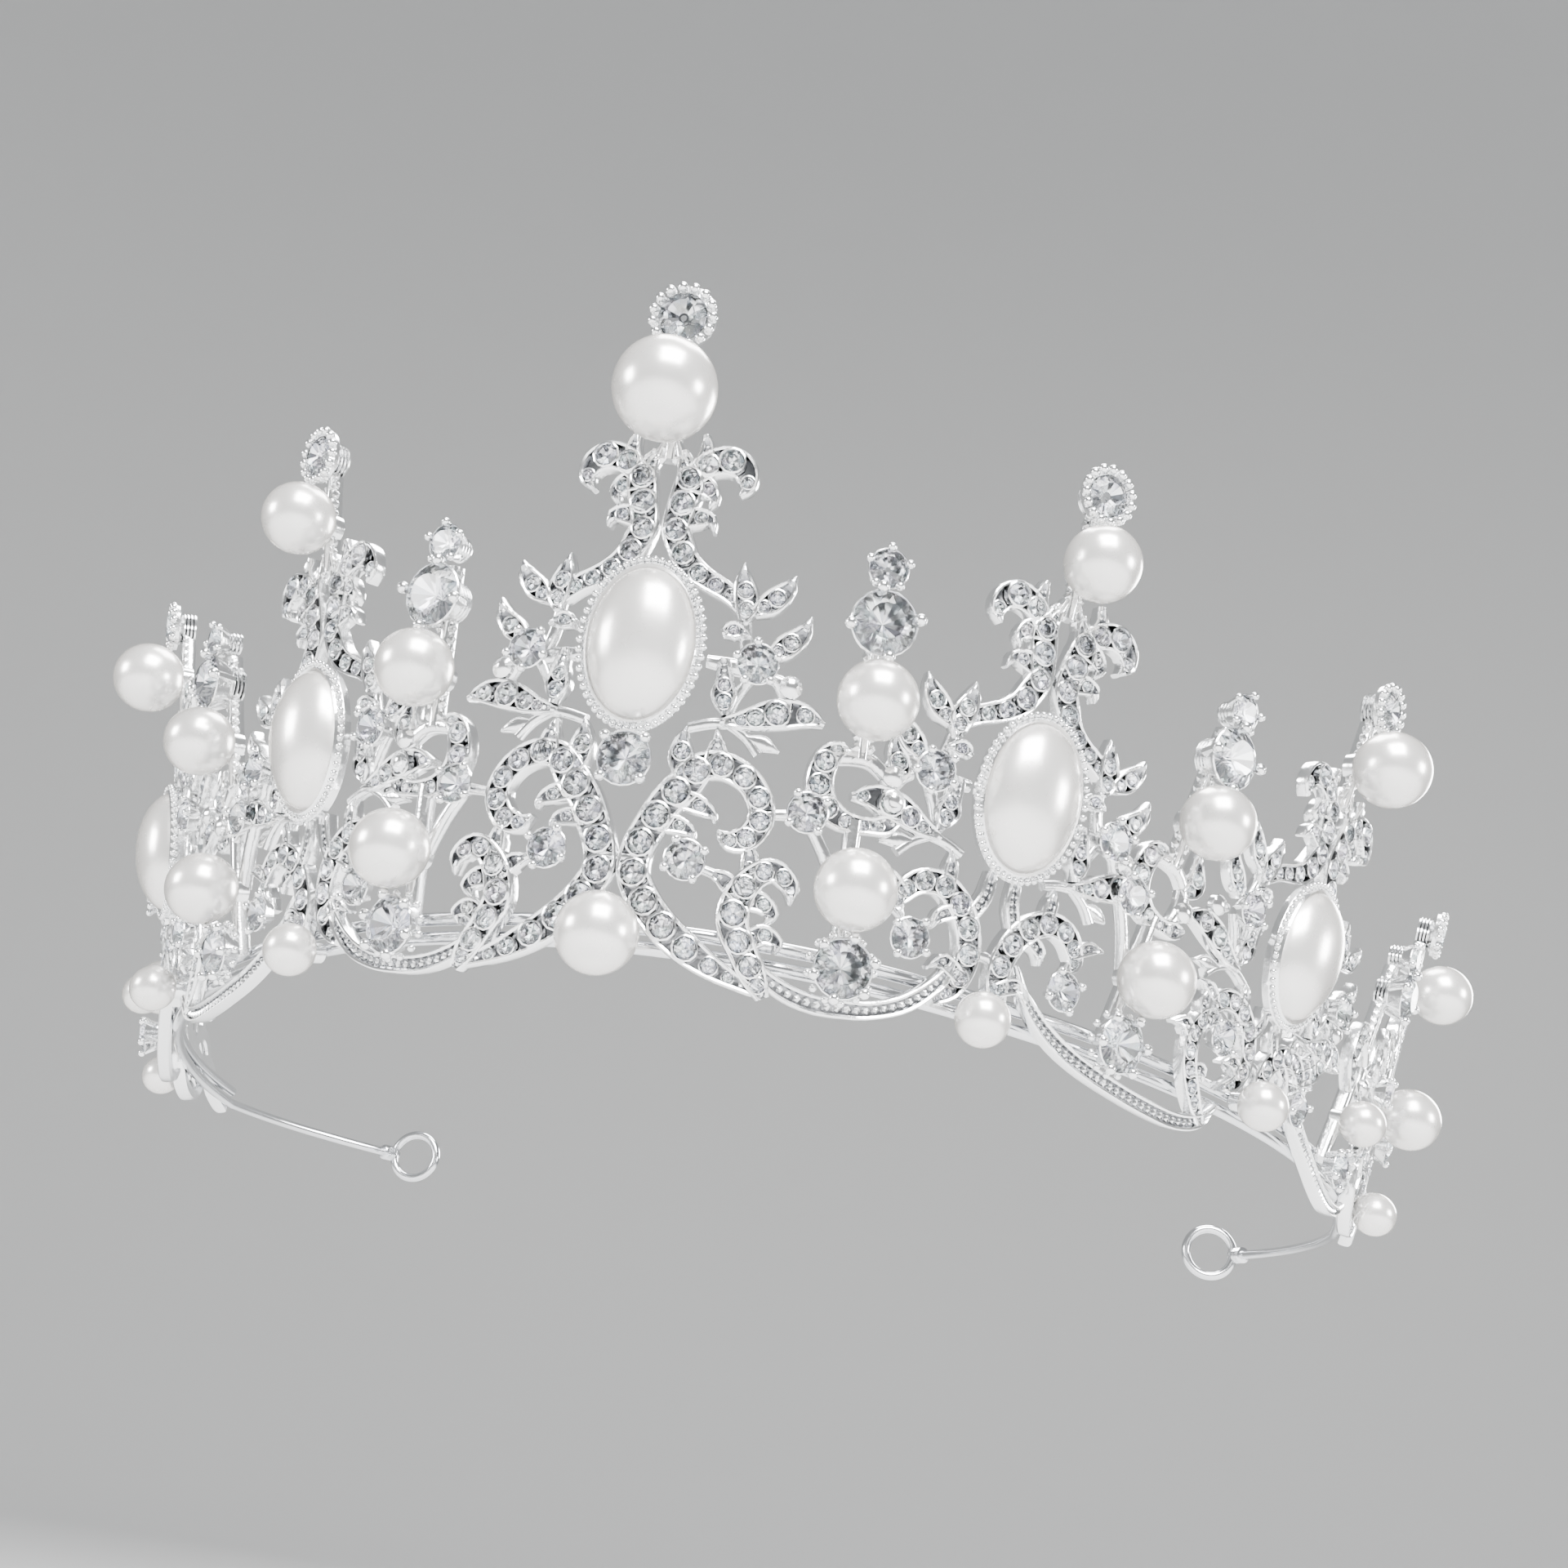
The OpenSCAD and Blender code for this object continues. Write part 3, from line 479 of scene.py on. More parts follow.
# Claw prongs up the side of a cup, each with a ball over the stone's edge
def claws(work, m, d, count, turn, z0, z1):
    for k in range(count):
        a = turn + math.tau * k / count
        foot = m @ (Vector((claw["foot"] * d * math.cos(a), claw["foot"] * d * math.sin(a), z0)) * mm)
        head = m @ (Vector((claw["head"] * d * math.cos(a), claw["head"] * d * math.sin(a), z1)) * mm)
        rod(work, foot, head, claw["rod"] * d + claw["rodLeast"])
        ball(work, Matrix.Translation(head), claw["ball"] * d + claw["ballLeast"], 2)


# Fluted outer wall of a deep cup, from the back of the casting up to the seat
def ridges(d):
    wall = [(0, flutes["back"]), (0.26 * d, flutes["back"])]
    for k in range(flutes["count"]):
        z = flutes["pitch"] * k
        wall += [(0.33 * d, -1.4 + z), (0.35 * d, -1.15 + z), (0.27 * d, -1.02 + z)]
    return wall + [(0.3 * d, flutes["top"]), (0, flutes["top"])]


# A round stone in a lathed cup with claws
def cupStone(metal, stones, plate, x, h, d, count=4, turn=0.785, z=0, deep=False):
    m = plate.frame(x, h, seat + z)
    if deep:
        lathe(metal, m, ridges(d), 20)
    lathe(metal, m, grown(cupWall, d), 20)
    claws(metal, m, d, count, turn, 0.05 * d, 0.46 * d)
    gem(stones, m @ Matrix.Translation((0, 0, 0.36 * d * mm)), d, 12 if d < 4.2 else 16, turn * 1.3)


def beadRing(metal, m, a, b, z, d, count):
    for k in range(count):
        t = math.tau * k / count
        ball(metal, m @ Matrix.Translation(Vector((a * math.cos(t), b * math.sin(t), z)) * mm), d, 2)


# Crest stone: cup with a row of ball prongs round it
def crestStone(metal, stones, plate, x, h, d):
    m = plate.frame(x, h, seat)
    lathe(metal, m, ridges(d + 1.4), 24)
    lathe(metal, m, grown(crestWall, d), 24)
    beadRing(metal, m, d / 2 + 0.62, d / 2 + 0.62, 0.36 * d, 1.1, 15)
    gem(stones, m @ Matrix.Translation((0, 0, 0.34 * d * mm)), d * 1.02, 14, 0.3)


# Steps along a channel: stones, then beads where it is narrow, then nothing
paveFit = {"start": 0.5, "stoneStep": 1.12, "stoneGap": 0.1, "beadLeast": 0.34, "bead": 0.72, "beadStep": 0.8,
           "beadGap": 0.05, "bareStep": 0.4}


def pave(metal, stones, plate, path, widest=2.6, least=1.1, base=0):
    travelled, nextAt = 0.0, paveFit["start"]
    for a, b in zip(path, path[1:]):
        leg = math.hypot(b[0] - a[0], b[1] - a[1])
        while travelled + leg >= nextAt:
            t = (nextAt - travelled) / leg
            x, h, w = (p + (q - p) * t for p, q in zip(a[:3], b[:3]))
            room = w - 2 * sizes["rim"] * 0.9
            if room > least:
                d = min(room, widest)
                m = plate.frame(x, h, base + sizes["floor"] + 0.12)
                collar = [(0.42 * d, 0), (0.58 * d, 0.05), (0.57 * d, 0.32 * d), (0.5 * d, 0.35 * d),
                          (0.46 * d, 0.2 * d)]
                lathe(metal, m, collar, 12)
                gem(stones, m @ Matrix.Translation((0, 0, 0.27 * d * mm)), 0.95 * d, 8, x * 2.1 + h)
                nextAt += d * paveFit["stoneStep"] + paveFit["stoneGap"]
            elif room > paveFit["beadLeast"]:
                ball(metal, plate.frame(x, h, base + sizes["cast"] - 0.5), room * paveFit["bead"])
                nextAt += room * paveFit["beadStep"] + paveFit["beadGap"]
            else:
                nextAt += paveFit["bareStep"]
        travelled += leg


# A channel with its stones
def studded(metal, stones, plate, points, base=0, widest=2.6, least=1.1):
    pave(metal, stones, plate, ribbon(metal, plate, points, base=base), widest, least, base)


# Strokes of the castings: [x, h, width] points
crestArm = [(1.5, 20.6, 1), (1.9, 19, 1.9), (2.4, 17.2, 3.2), (1.9, 14.6, 3.1), (1.6, 12.6, 2.9),
            (2.2, 10.8, 3), (3.2, 9, 2.8), (5, 7.6, 2.4), (7.7, 6.2, 2.1), (9.6, 4.4, 1.5)]
crestCurl = [(2.2, 17.4, 2.5), (4, 19.2, 2.8), (6, 19.9, 3.2), (7.6, 19.2, 2.9), (8.2, 17.6, 1.9),
             (7.5, 16.4, 0.5)]
crestHook = [(2.2, 17.4, 2.2), (4, 17, 2.3), (5, 15.8, 1.4), (4.6, 14.8, 0.4)]
crestHookLow = [(1.8, 13.2, 2.2), (3.6, 13.7, 2.2), (5, 13.5, 1.4), (5.4, 12.4, 0.4)]
crestSpur = [(3, 18.4, 1.7), (3.8, 20.4, 1.7), (3.5, 22.4, 0.9)]
crestInner = [(2, 18, 1.4), (1.2, 20, 1.2), (0.7, 21.6, 0.7)]
leaves = [
    [(9.3, 3.6, 1.1), (9.5, 5.4, 2.6), (9.0, 7.6, 2), (8.8, 9.6, 0.3)],
    [(10.2, 4.6, 1.1), (11.8, 5.8, 2.5), (13.2, 7.4, 1.9), (14, 9, 0.3)],
    [(12, 0.4, 1.1), (13.6, 1.6, 2.5), (15.1, 3.2, 1.9), (15.9, 5.2, 0.3)],
    [(7.4, 2.2, 1), (8.6, 2.6, 1.9), (10.2, 2.2, 0.4)],
    [(7.9, -0.4, 1.2), (8.2, -2.6, 1.9), (8.3, -4.2, 2.6), (8.6, -6, 0.8)],
]
bigLeaf = [(8.2, -6.6, 0.8), (10.6, -6.1, 2.1), (13.4, -5.1, 3.1), (16, -4.7, 2.6), (18.2, -5.2, 0.8)]
twigs = [
    [(6.2, -0.6, 1.3), (8.6, -0.8, 1.7), (11, -1, 1.8)],
    [(9.5, 3.8, 1.2), (9.8, 1.6, 1.4), (10.6, -0.6, 1.4)],
    [(8.6, -6, 1), (9.6, -3.6, 1.1), (11, -1.2, 1.3)],
    [(5.2, -7.4, 1.1), (7.2, -6.8, 1.1), (8.8, -6.6, 1.1)],
    [(8.6, -6.4, 1), (10.8, -7.7, 1), (12.2, -9.2, 1.1)],
    [(11, -7.8, 0.9), (12.6, -8.0, 1.7), (14.2, -8.6, 0.3)],
    [(12.6, -1.4, 1), (14, -2.2, 1.9), (14.6, -4.6, 1)],
]
scroll = [(9.2, 15.8, 0.5), (10.4, 15.0, 2.1), (12.2, 15.6, 2.6), (13.2, 18, 2.7), (12, 20.6, 2.8),
          (9.6, 22, 2.9), (7.2, 21.8, 3), (5.6, 19.8, 3.5), (4.0, 17.8, 3.4), (2.8, 15.4, 3.4),
          (1.8, 12.9, 3.3), (1.75, 10.6, 3.3), (2.9, 8.4, 3.3), (4.5, 6.5, 3.3), (6.4, 4.9, 3.2),
          (8.4, 3.6, 2.9), (11, 2.3, 2.1), (14.6, 1.1, 1.1)]
scrollTips = [
    [(5.6, 20.6, 2.2), (5.0, 22.4, 2.8), (4.9, 24.2, 1.6), (5.1, 25.6, 0.3)],
    [(8.2, 21.8, 2.1), (8.3, 23.2, 2.2), (8.2, 24.6, 1.2), (8.0, 25.6, 0.3)],
    [(5.2, 18.4, 2), (7, 18, 2.1), (8.6, 17.2, 1.1), (8.8, 16.4, 0.3)],
    [(3.6, 15.8, 1.9), (5.4, 15.8, 1.9), (6.8, 15.2, 1.1), (7, 14.2, 0.3)],
]
acanthus = [(15.2, 0.6, 1.3), (14.2, 2.4, 2.7), (12.9, 4.6, 2.9), (11.6, 7.2, 3.2), (11.9, 9.8, 3),
            (13.2, 11.9, 2.6), (15, 12.8, 2.4), (16.6, 11.6, 2), (16.8, 9.8, 0.4)]
acanthusBits = [
    [(12.2, 9.6, 2.1), (14, 9.6, 2.2), (15.2, 8.6, 1.5), (14.6, 7.6, 0.4)],
    [(13, 5.6, 2), (14.6, 6.6, 2.1), (16, 6.0, 1.4), (15.8, 5, 0.3)],
    [(12.4, 10.8, 1.2), (12.6, 13, 1.9), (12.3, 15.2, 1)],
    [(11.9, 9.6, 1.4), (10.6, 11, 2), (9.3, 11.6, 1.1), (7.8, 12, 1)],
]
innerScroll = [(9.4, 10.4, 0.5), (10.4, 12, 1.9), (9, 14.2, 2.6), (6.6, 14.8, 2.7), (4.2, 13.6, 2.9),
               (2.6, 11.4, 2.9), (1.9, 9, 2.8), (2.1, 6.8, 2.6), (2.8, 5, 2), (4.4, 3.6, 1.1)]
innerBits = [
    [(5.8, 15.2, 1.6), (6, 16.8, 1.6), (6.2, 18.4, 0.3)],
    [(2.6, 12.8, 1.6), (1.6, 15, 1.6), (1.4, 17.6, 1.2)],
    [(4.4, 12.6, 1.6), (5.8, 11.8, 1.6), (6.4, 10.4, 0.5)],
    [(2.2, 6.6, 1.6), (4.2, 7.6, 1.8), (5.6, 6.6, 0.4)],
    [(9.8, 12.6, 1.2), (11.8, 14, 1.6), (13.8, 14.2, 0.4)],
]
boss = [(0, 0.9), (0.7, 0.75), (1.15, 0.3), (1.2, -0.4)]
smallBoss = [(0, 0.9), (0.6, 0.8), (1.1, 0.4), (1.2, -0.3)]


# Stretches a drawing sideways and upwards and raises it; a low drawing gets narrower strokes
def fit(points, kx, ky, up=0):
    grow = min(1, 0.75 + 0.25 * ky)
    return [(x * kx, h * ky + up, w * grow) for x, h, w in points]


# One whole motif in channel work, with its leaves, twigs and round stones
def motif(metal, stones, plate, ovalUp, tall, reach, crestUp, full):
    for m in (1, -1):
        for line in (crestArm, crestCurl, crestHook, crestHookLow, crestSpur, crestInner):
            studded(metal, stones, plate, fit(line, m, 1, ovalUp))
        for line in leaves:
            studded(metal, stones, plate, fit(line, reach * m, 1, ovalUp), 0.25)
        studded(metal, stones, plate, fit(bigLeaf, reach * m, 1, ovalUp))
        for line in twigs:
            ribbon(metal, plate, fit(line, reach * m, 1, ovalUp), "solid", 1.2)
        cupStone(metal, stones, plate, 11.2 * reach * m, ovalUp - 0.8, 4, 5, 0.4 * m, z=0.2)
        if full:
            studded(metal, stones, plate, fit(scroll, m, tall))
            studded(metal, stones, plate, fit(acanthus, m, tall), 0.1)
            for line in scrollTips:
                studded(metal, stones, plate, fit(line, m, tall), 0.05)
            for line in acanthusBits:
                studded(metal, stones, plate, fit(line, m, tall))
            cupStone(metal, stones, plate, 6.6 * m, 12.4, 3.9, 4, 0.5 * m, z=-0.2)
        else:
            studded(metal, stones, plate, fit(innerScroll, m, tall))
            for line in innerBits:
                studded(metal, stones, plate, fit(line, m, tall), 0.05)
            ribbon(metal, plate, fit([(9.4, 10.4, 1), (9.2, 9, 1.2)], m, tall), "solid", 1.4)
            cupStone(metal, stones, plate, 8.8 * m, 8.6 * tall, 3.9, 4, 0.5 * m)
        lathe(metal, plate.frame(14.6 * reach * m, ovalUp - 2.2, 1.3), boss, 12)
    stem(metal, plate, ovalUp + pearlUp - 5.4, ovalUp + crestUp - 2)
    touch = 12.2 if full else 9.4 * tall
    ribbon(metal, plate, [(-2, touch, 1), (0, touch, 1.1), (2, touch, 1)], "solid", 1.5)
    if full:
        ribbon(metal, plate, [(0, ovalUp - 8, 1.6), (0, ovalUp - 10.6, 1.4)], "solid", 1.4)


stemShape = {"wide": 1.3, "thick": 1.75, "bead": 1.05, "beadStep": 1.15, "beadSide": 0.75}


# Upright behind pearls and stones, with a row of beads up each side
def stem(metal, plate, low, high):
    wide, step, side = stemShape["wide"], stemShape["beadStep"], stemShape["beadSide"]
    line = [(0, low, wide), (0, (low + high) / 2, wide), (0, high, wide)]
    ribbon(metal, plate, line, "solid", stemShape["thick"])
    for k in range(int((high - low) / step) + 1):
        for x in (-side, side):
            ball(metal, plate.frame(x, low + step * k, seat - 0.35), stemShape["bead"])


ovalShape = {"halfWide": 5.4, "halfHigh": 7.8, "dome": 4.3, "bead": 0.74, "beads": 54, "beadUp": 1.45}
bezelWall = [(0.62, 0), (1.1, 0), (1.13, 0.9), (1.07, 1.5), (1.03, 1.8), (0.99, 1.5), (0.99, 0.6), (0.62, 0.5)]


# Oval pearl in a milgrained bezel
def oval(metal, pearls, plate, h):
    m = plate.frame(0, h, seat)
    a, b = ovalShape["halfWide"], ovalShape["halfHigh"]
    lathe(metal, m @ Matrix.Diagonal((a, b, 1, 1)), bezelWall, 48)
    beadRing(metal, m, a + 0.8, b + 0.8, ovalShape["beadUp"], ovalShape["bead"], ovalShape["beads"])
    dome = Matrix.Diagonal((a * 1.01, b * 1.01, ovalShape["dome"], 1))
    profile = [(math.sin(t), math.cos(t)) for t in [math.pi / 2 * k / 12 for k in range(13)]]
    lathe(pearls, m @ Matrix.Translation((0, 0, 0.7 * mm)) @ dome, profile + [(0.98, -0.1)], 40)


# A drilled pearl on its peg, with a small dished seat behind it
def pearl(work, metal, plate, x, h, d):
    m = plate.frame(x, h, seat + 0.46 * d)
    bm = bmesh.new()
    bmesh.ops.create_uvsphere(bm, u_segments=40, v_segments=24, radius=d / 2 * mm)
    work.add(bm, m)
    dish = [(0, 0.1), (0.14 * d, 0), (0.19 * d, 0.3), (0.21 * d, seat + 0.1), (0.16 * d, seat + 0.2),
            (0, seat + 0.2)]
    lathe(metal, plate.frame(x, h, 0), dish, 18)


# A casting is two pieces, its metal and its stones
def begin():
    return Work([silver, floorSilver]), Work([glass, foil, foilShade])


def close(name, metal, stones, nodes):
    metal.finish(name + "_filigree", nodes, "plated_casting")
    stones.finish(name + "_stones", [], "crystal", 1)
    print("made", name)


# Heights and widths of each motif's oval, crest and pearls
motifs = {
    "centre": {"oval": 33, "tall": 1, "reach": 1, "pearl": 10.5, "crestUp": 34.2, "stone": 5, "low": 8},
    "inner": {"oval": 25.8, "tall": 1, "reach": 0.95, "pearl": 8, "crestUp": 33.2, "stone": 4.4, "low": 5.5},
    "outer": {"oval": 21.4, "tall": 0.78, "reach": 1.05, "pearl": 9, "crestUp": 33.2, "stone": 4.4, "low": 5.5},
}
pearlUp = 25  # crest pearl above the oval
sideWord = {1: "_right", -1: "_left"}
pearls = Work([pearlSkin])
for key, own in motifs.items():
    full = key == "centre"
    for side in (1,) if full else (1, -1):
        name = key if full else key + sideWord[side]
        plate = Plate(key, side)
        metal, stones = begin()
        motif(metal, stones, plate, own["oval"], own["tall"], own["reach"], own["crestUp"], full)
        oval(metal, pearls, plate, own["oval"])
        crestStone(metal, stones, plate, 0, own["oval"] + own["crestUp"], own["stone"])
        pearl(pearls, metal, plate, 0, own["oval"] + pearlUp, own["pearl"])
        pearl(pearls, metal, plate, 0, own["low"] / 2 + 0.3, own["low"])
        if full:
            cupStone(metal, stones, plate, 0, 21.4, 5.3, z=0.3)
        close(name, metal, stones, [name + "_casting", name + "_oval_bezel"])

# Strokes of the spike columns
ringArc = [(-1, 25.6, 0.4), (-2.2, 25.6, 1.8), (-3.4, 24.6, 2.7), (-3.9, 22.4, 2.9), (-3.2, 20.2, 2.8),
           (-1.2, 18.8, 2.3), (1.4, 18.6, 1.8), (3.2, 19, 2.1), (4.8, 19.8, 0.4)]
ringArm = [(-3.2, 24.8, 1.8), (-1, 25.2, 1.8), (1, 25, 1.6), (2.6, 24, 1.6)]
ringLeaf = [(2.6, 23, 1.1), (3.8, 24.6, 2.6), (3.2, 26.6, 1.8), (2.9, 28.4, 0.3)]
ringDrop = [(2.8, 23.6, 1.4), (3.4, 21.8, 2), (2.8, 20, 1.5), (2, 18.8, 1.2)]
scallop = [(-9.4, 6.4, 0.6), (-7.6, 3.6, 1.4), (-5, 1.8, 1.8), (-2, 0.9, 1.9), (1, 0.8, 1.9), (4, 1.1, 1.8),
           (7.4, 2.4, 1.8), (10.4, 5, 1.5), (12, 7.8, 0.7)]
longScallop = [(-13.4, 6.4, 0.6), (-10.6, 3.6, 1.4), (-6.5, 1.7, 1.8), (-2, 0.9, 1.9), (3, 0.8, 1.9),
               (8, 1.1, 1.9), (13, 1.9, 1.9), (16.6, 3.6, 1.6), (18.6, 6.2, 0.7)]
sideArms = [
    [(17, 3.4, 1.2), (14.4, 5.4, 2.2), (12, 8.2, 2.4), (11.2, 11.4, 2.3), (12.6, 14, 2.1), (14.6, 13.8, 1.5),
     (14.8, 12.2, 0.4)],
    [(12.4, 7.4, 1.4), (14.2, 8.4, 1.7), (15.4, 7.6, 0.4)],
    [(11.4, 10.4, 1.4), (9.6, 11.6, 1.7), (8.2, 11, 0.4)],
    [(11.8, 13, 1.4), (11.2, 15.2, 1.7), (11.6, 17.4, 0.3)],
]
struts = [  # behind the stone beside a column: [points, thickness]
    ([(-4.8, 18.8, 1.2), (-2.6, 15.6, 1.3), (-0.8, 12, 1.4)], 1.4),
    ([(-4.8, 18.8, 1.2), (-7, 18.6, 1.1), (-9, 18.4, 1)], 1.2),
    ([(-4.8, 18.8, 1.2), (-3.4, 20.4, 1.2), (-2.4, 21, 1.2)], 1.2),
]


# One column: ring scroll, scallop at its foot, and two deep cups above a pearl
def spike(metal, stones, plate, tipH, stoneH, stoneD, ringUp, edge):
    for line in (ringArc, ringLeaf):
        studded(metal, stones, plate, fit(line, 1, 1, ringUp), widest=2.1)
    for line in (ringArm, ringDrop):
        ribbon(metal, plate, fit(line, 1, 1, ringUp), "solid", 1.5)
    lathe(metal, plate.frame(3.6, 21.4 + ringUp, 1.3), smallBoss, 12)
    studded(metal, stones, plate, edge, least=3)
    ribbon(metal, plate, [(0, 4, 1.8), (0, 12, 1.6), (0, 19 + ringUp, 1.8)], "solid", stemShape["thick"])
    stem(metal, plate, 25 + ringUp, tipH - 2)
    cupStone(metal, stones, plate, 0, stoneH, stoneD, 4, 0.2, 0.1, True)
    cupStone(metal, stones, plate, 0, tipH, 4, 5, math.pi / 2, 0.1, True)


for tag, foot, arms in (("inner", scallop, []), ("outer", longScallop, sideArms)):
    for side in (1, -1):
        plate = Plate(tag + "Spike", side)
        metal, stones = begin()
        spike(metal, stones, plate, 44, 38.2, 6.6, 0, foot)
        for line in arms:
            studded(metal, stones, plate, line)
        for h in (30.2, 11.8):
            pearl(pearls, metal, plate, 0, h, 8)
        cupStone(metal, stones, plate, 0, 4.4, 5.7, 6, 0.3, z=0.3)
        beadRing(metal, plate.frame(0, 4.4, seat + 1.4), 3.25, 3.25, 0, 0.8, 13)
        cupStone(metal, stones, plate, -4.8, 18.8, 3.9, 4, 0.6)
        for line, thick in struts:
            ribbon(metal, plate, line, "solid", thick)
        close(tag + sideWord[side] + "_spike", metal, stones, [tag + sideWord[side] + "_spike"])

# Strokes of the end motifs
endWave = [(0, 26.5, 1), (-3.4, 28.6, 2.2), (-5.6, 26, 2), (-4, 23.4, 1.6), (0, 24, 1.6),
           (4, 23.4, 1.6), (5.6, 26, 2), (3.4, 28.6, 2.2), (0.4, 26.5, 1)]
endTail = [(0, 9, 1.8), (5, 7.4, 2.6), (10, 9, 2.4), (14, 6.6, 2), (18.6, 5.4, 1.2)]
endCrest = [
    [(5, 0, 1.2), (3.2, 2, 2.2), (1.7, 4.4, 2.4), (2.2, 6.6, 2.4), (3.8, 7.8, 2.4), (5.4, 7.2, 1.7),
     (5.4, 5.8, 0.4)],
    [(2.2, 3.2, 1.6), (4, 3.8, 1.7), (5, 3, 0.4)],
]
for side in (1, -1):
    name = "end" + sideWord[side]
    plate = Plate("endSpike", side)
    metal, stones = begin()
    spike(metal, stones, plate, 35.6, 29.5, 6, -4, fit(longScallop, -1, 1))
    for line in sideArms:
        studded(metal, stones, plate, fit(line, -1, 1))
    pearl(pearls, metal, plate, 0, 10, 5.5)
    cupStone(metal, stones, plate, 0, 3.4, 4.4, 5, 0.3, z=0.2)
    close(name + "_spike", metal, stones, [name + "_spike"])

    plate = Plate("end", side)
    metal, stones = begin()
    for line in (endWave, endTail, fit(endTail, -0.55, 1), fit(scallop, 0.7, 1)):
        studded(metal, stones, plate, line)
    ribbon(metal, plate, [(0, 3, 1.8), (0, 16, 1.6), (0, 24, 1.8)], "solid", stemShape["thick"])
    stem(metal, plate, 24, 43)
    for m in (1, -1):
        drawn = [fit(line, m, 1, 24) for line in endCrest]
        drawn += [fit(line, 0.72 * m, 0.9, 16) for line in leaves[:4]]
        drawn += [fit(line, 0.85 * m, 0.8) for line in [innerScroll] + innerBits[:3]]
        for line in drawn:
            studded(metal, stones, plate, line)
        cupStone(metal, stones, plate, 8.6 * m, 16, 3.9, 4, 0.5 * m)
        branch = [(0, 17, 1.2), (4, 16.6, 1.3), (8.6, 16, 1.3), (9, 19, 1.1)]
        ribbon(metal, plate, fit(branch, m, 1), "solid", 1.4)
    for h, d in ((36, 8), (17, 8), (3.05, 5.5)):
        pearl(pearls, metal, plate, 0, h, d)
    crestStone(metal, stones, plate, 0, 45, 4.4)
    close(name, metal, stones, [name + "_casting"])

pearlNodes = [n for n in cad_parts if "pearl" in n and n != "pearl_pegs"]
pearls.finish("pearls", pearlNodes, "pearl", 60)
print("made pearls")

# Rods, and the wrapped neck and round eye at each end
wires = Work([wireSilver])
rodGap = 0.02  # between the castings' backs and the rods
rodSteps = 90
neck = {"start": -2.1, "end": 0.9, "turns": 6, "pitch": 0.5, "groove": 1.05, "coil": 1.3, "toEye": 1.3}


# Middle of the rod at an arc length; past the last casting it slants upwards
def wirePoint(s, h, side):
    r = sizes["wire"] / 2
    flat = min(s, sizes["flatArc"])
    out = h * math.sin(flare) - r - rodGap
    turn = turnAt(flat)
    p = rimAt(flat) + Vector((math.sin(turn), -math.cos(turn), 0)) * out
    if s > flat:
        radius = sizes["sideRadius"] + out
        a = (s - flat) / sizes["sideRadius"]
        along = Vector((math.cos(turn), math.sin(turn), 0))
        away = Vector((math.sin(turn), -math.cos(turn), 0))
        tilt = math.radians(sizes["tailRise"])
        climb = along * math.cos(tilt) + Vector((0, 0, math.sin(tilt)))
        p = p + climb * radius * math.sin(a) - away * radius * (1 - math.cos(a))
    z = h * math.cos(flare) + sizes["lift"] + p.z
    return Vector((p.x * side, p.y - sizes["depthMid"], z)) * mm


def tube(work, points, d, segments=14):
    rings = []
    for i, p in enumerate(points):
        run = (points[min(i + 1, len(points) - 1)] - points[max(i - 1, 0)]).normalized()
        side = run.cross(Vector((0, 0, 1))).normalized()
        up = side.cross(run).normalized()
        rings.append([p + (side * math.cos(t) + up * math.sin(t)) * d / 2 * mm
                      for t in [math.tau * k / segments for k in range(segments)]])
    sweep(work, rings)


reach = sizes["flatArc"] + sizes["tailArc"]
for h, far in ((sizes["wireLow"], reach), (sizes["wireLow"] + sizes["wireGap"], sizes["flatArc"])):
    line = [wirePoint(s, h, 1) for s in [far * k / rodSteps for k in range(1, rodSteps + 1)]]
    mirror = [Vector((-p.x, p.y, p.z)) for p in line[::-1]]
    tube(wires, mirror + [wirePoint(0, h, 1)] + line, sizes["wire"])
wires.finish("rods", ["upper_wire", "lower_wire"], "wire", 60)

for side in (1, -1):
    eye = Work([wireSilver])
    end = wirePoint(reach, sizes["wireLow"], side)
    run = (end - wirePoint(reach - 3, sizes["wireLow"], side)).normalized()
    off = sizes["loop"] / 2 + neck["toEye"] - sizes["wire"]
    middle = Vector((end.x - side * off * mm, end.y, end.z))
    r, half = (sizes["loop"] - sizes["wire"]) / 2, sizes["wire"] / 2
    circle = [(r + half * math.cos(t), half * math.sin(t)) for t in [math.tau * k / 14 for k in range(15)]]
    lathe(eye, Matrix.Translation(middle) @ Matrix.Rotation(math.pi / 2, 4, "X"), circle, 64)
    outline = [(0, neck["start"])]
    for k in range(neck["turns"]):
        z = neck["start"] + k * neck["pitch"]
        outline += [(neck["groove"], z), (neck["coil"] - 0.02, z + 0.13), (neck["coil"], z + 0.36),
                    (neck["groove"], z + 0.48)]
    turnTo = Matrix.Translation(end) @ run.to_track_quat("Z", "Y").to_matrix().to_4x4()
    lathe(eye, turnTo, outline + [(0, neck["end"])], 20)
    hand = "left" if side < 0 else "right"
    eye.finish(hand + "_eye", [hand + "_end_loop"], "wire", 40)
print("made rods and eyes")

# CAD stones, cups and pegs are stood for by the filigree's own settings
stoneNodes = [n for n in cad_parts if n.endswith("_stones") or n.endswith("_stone")]
cupNodes = [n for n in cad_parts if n.endswith("_cups") or n.endswith("_cup") or n == "pearl_pegs"]
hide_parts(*stoneNodes)
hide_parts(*cupNodes)

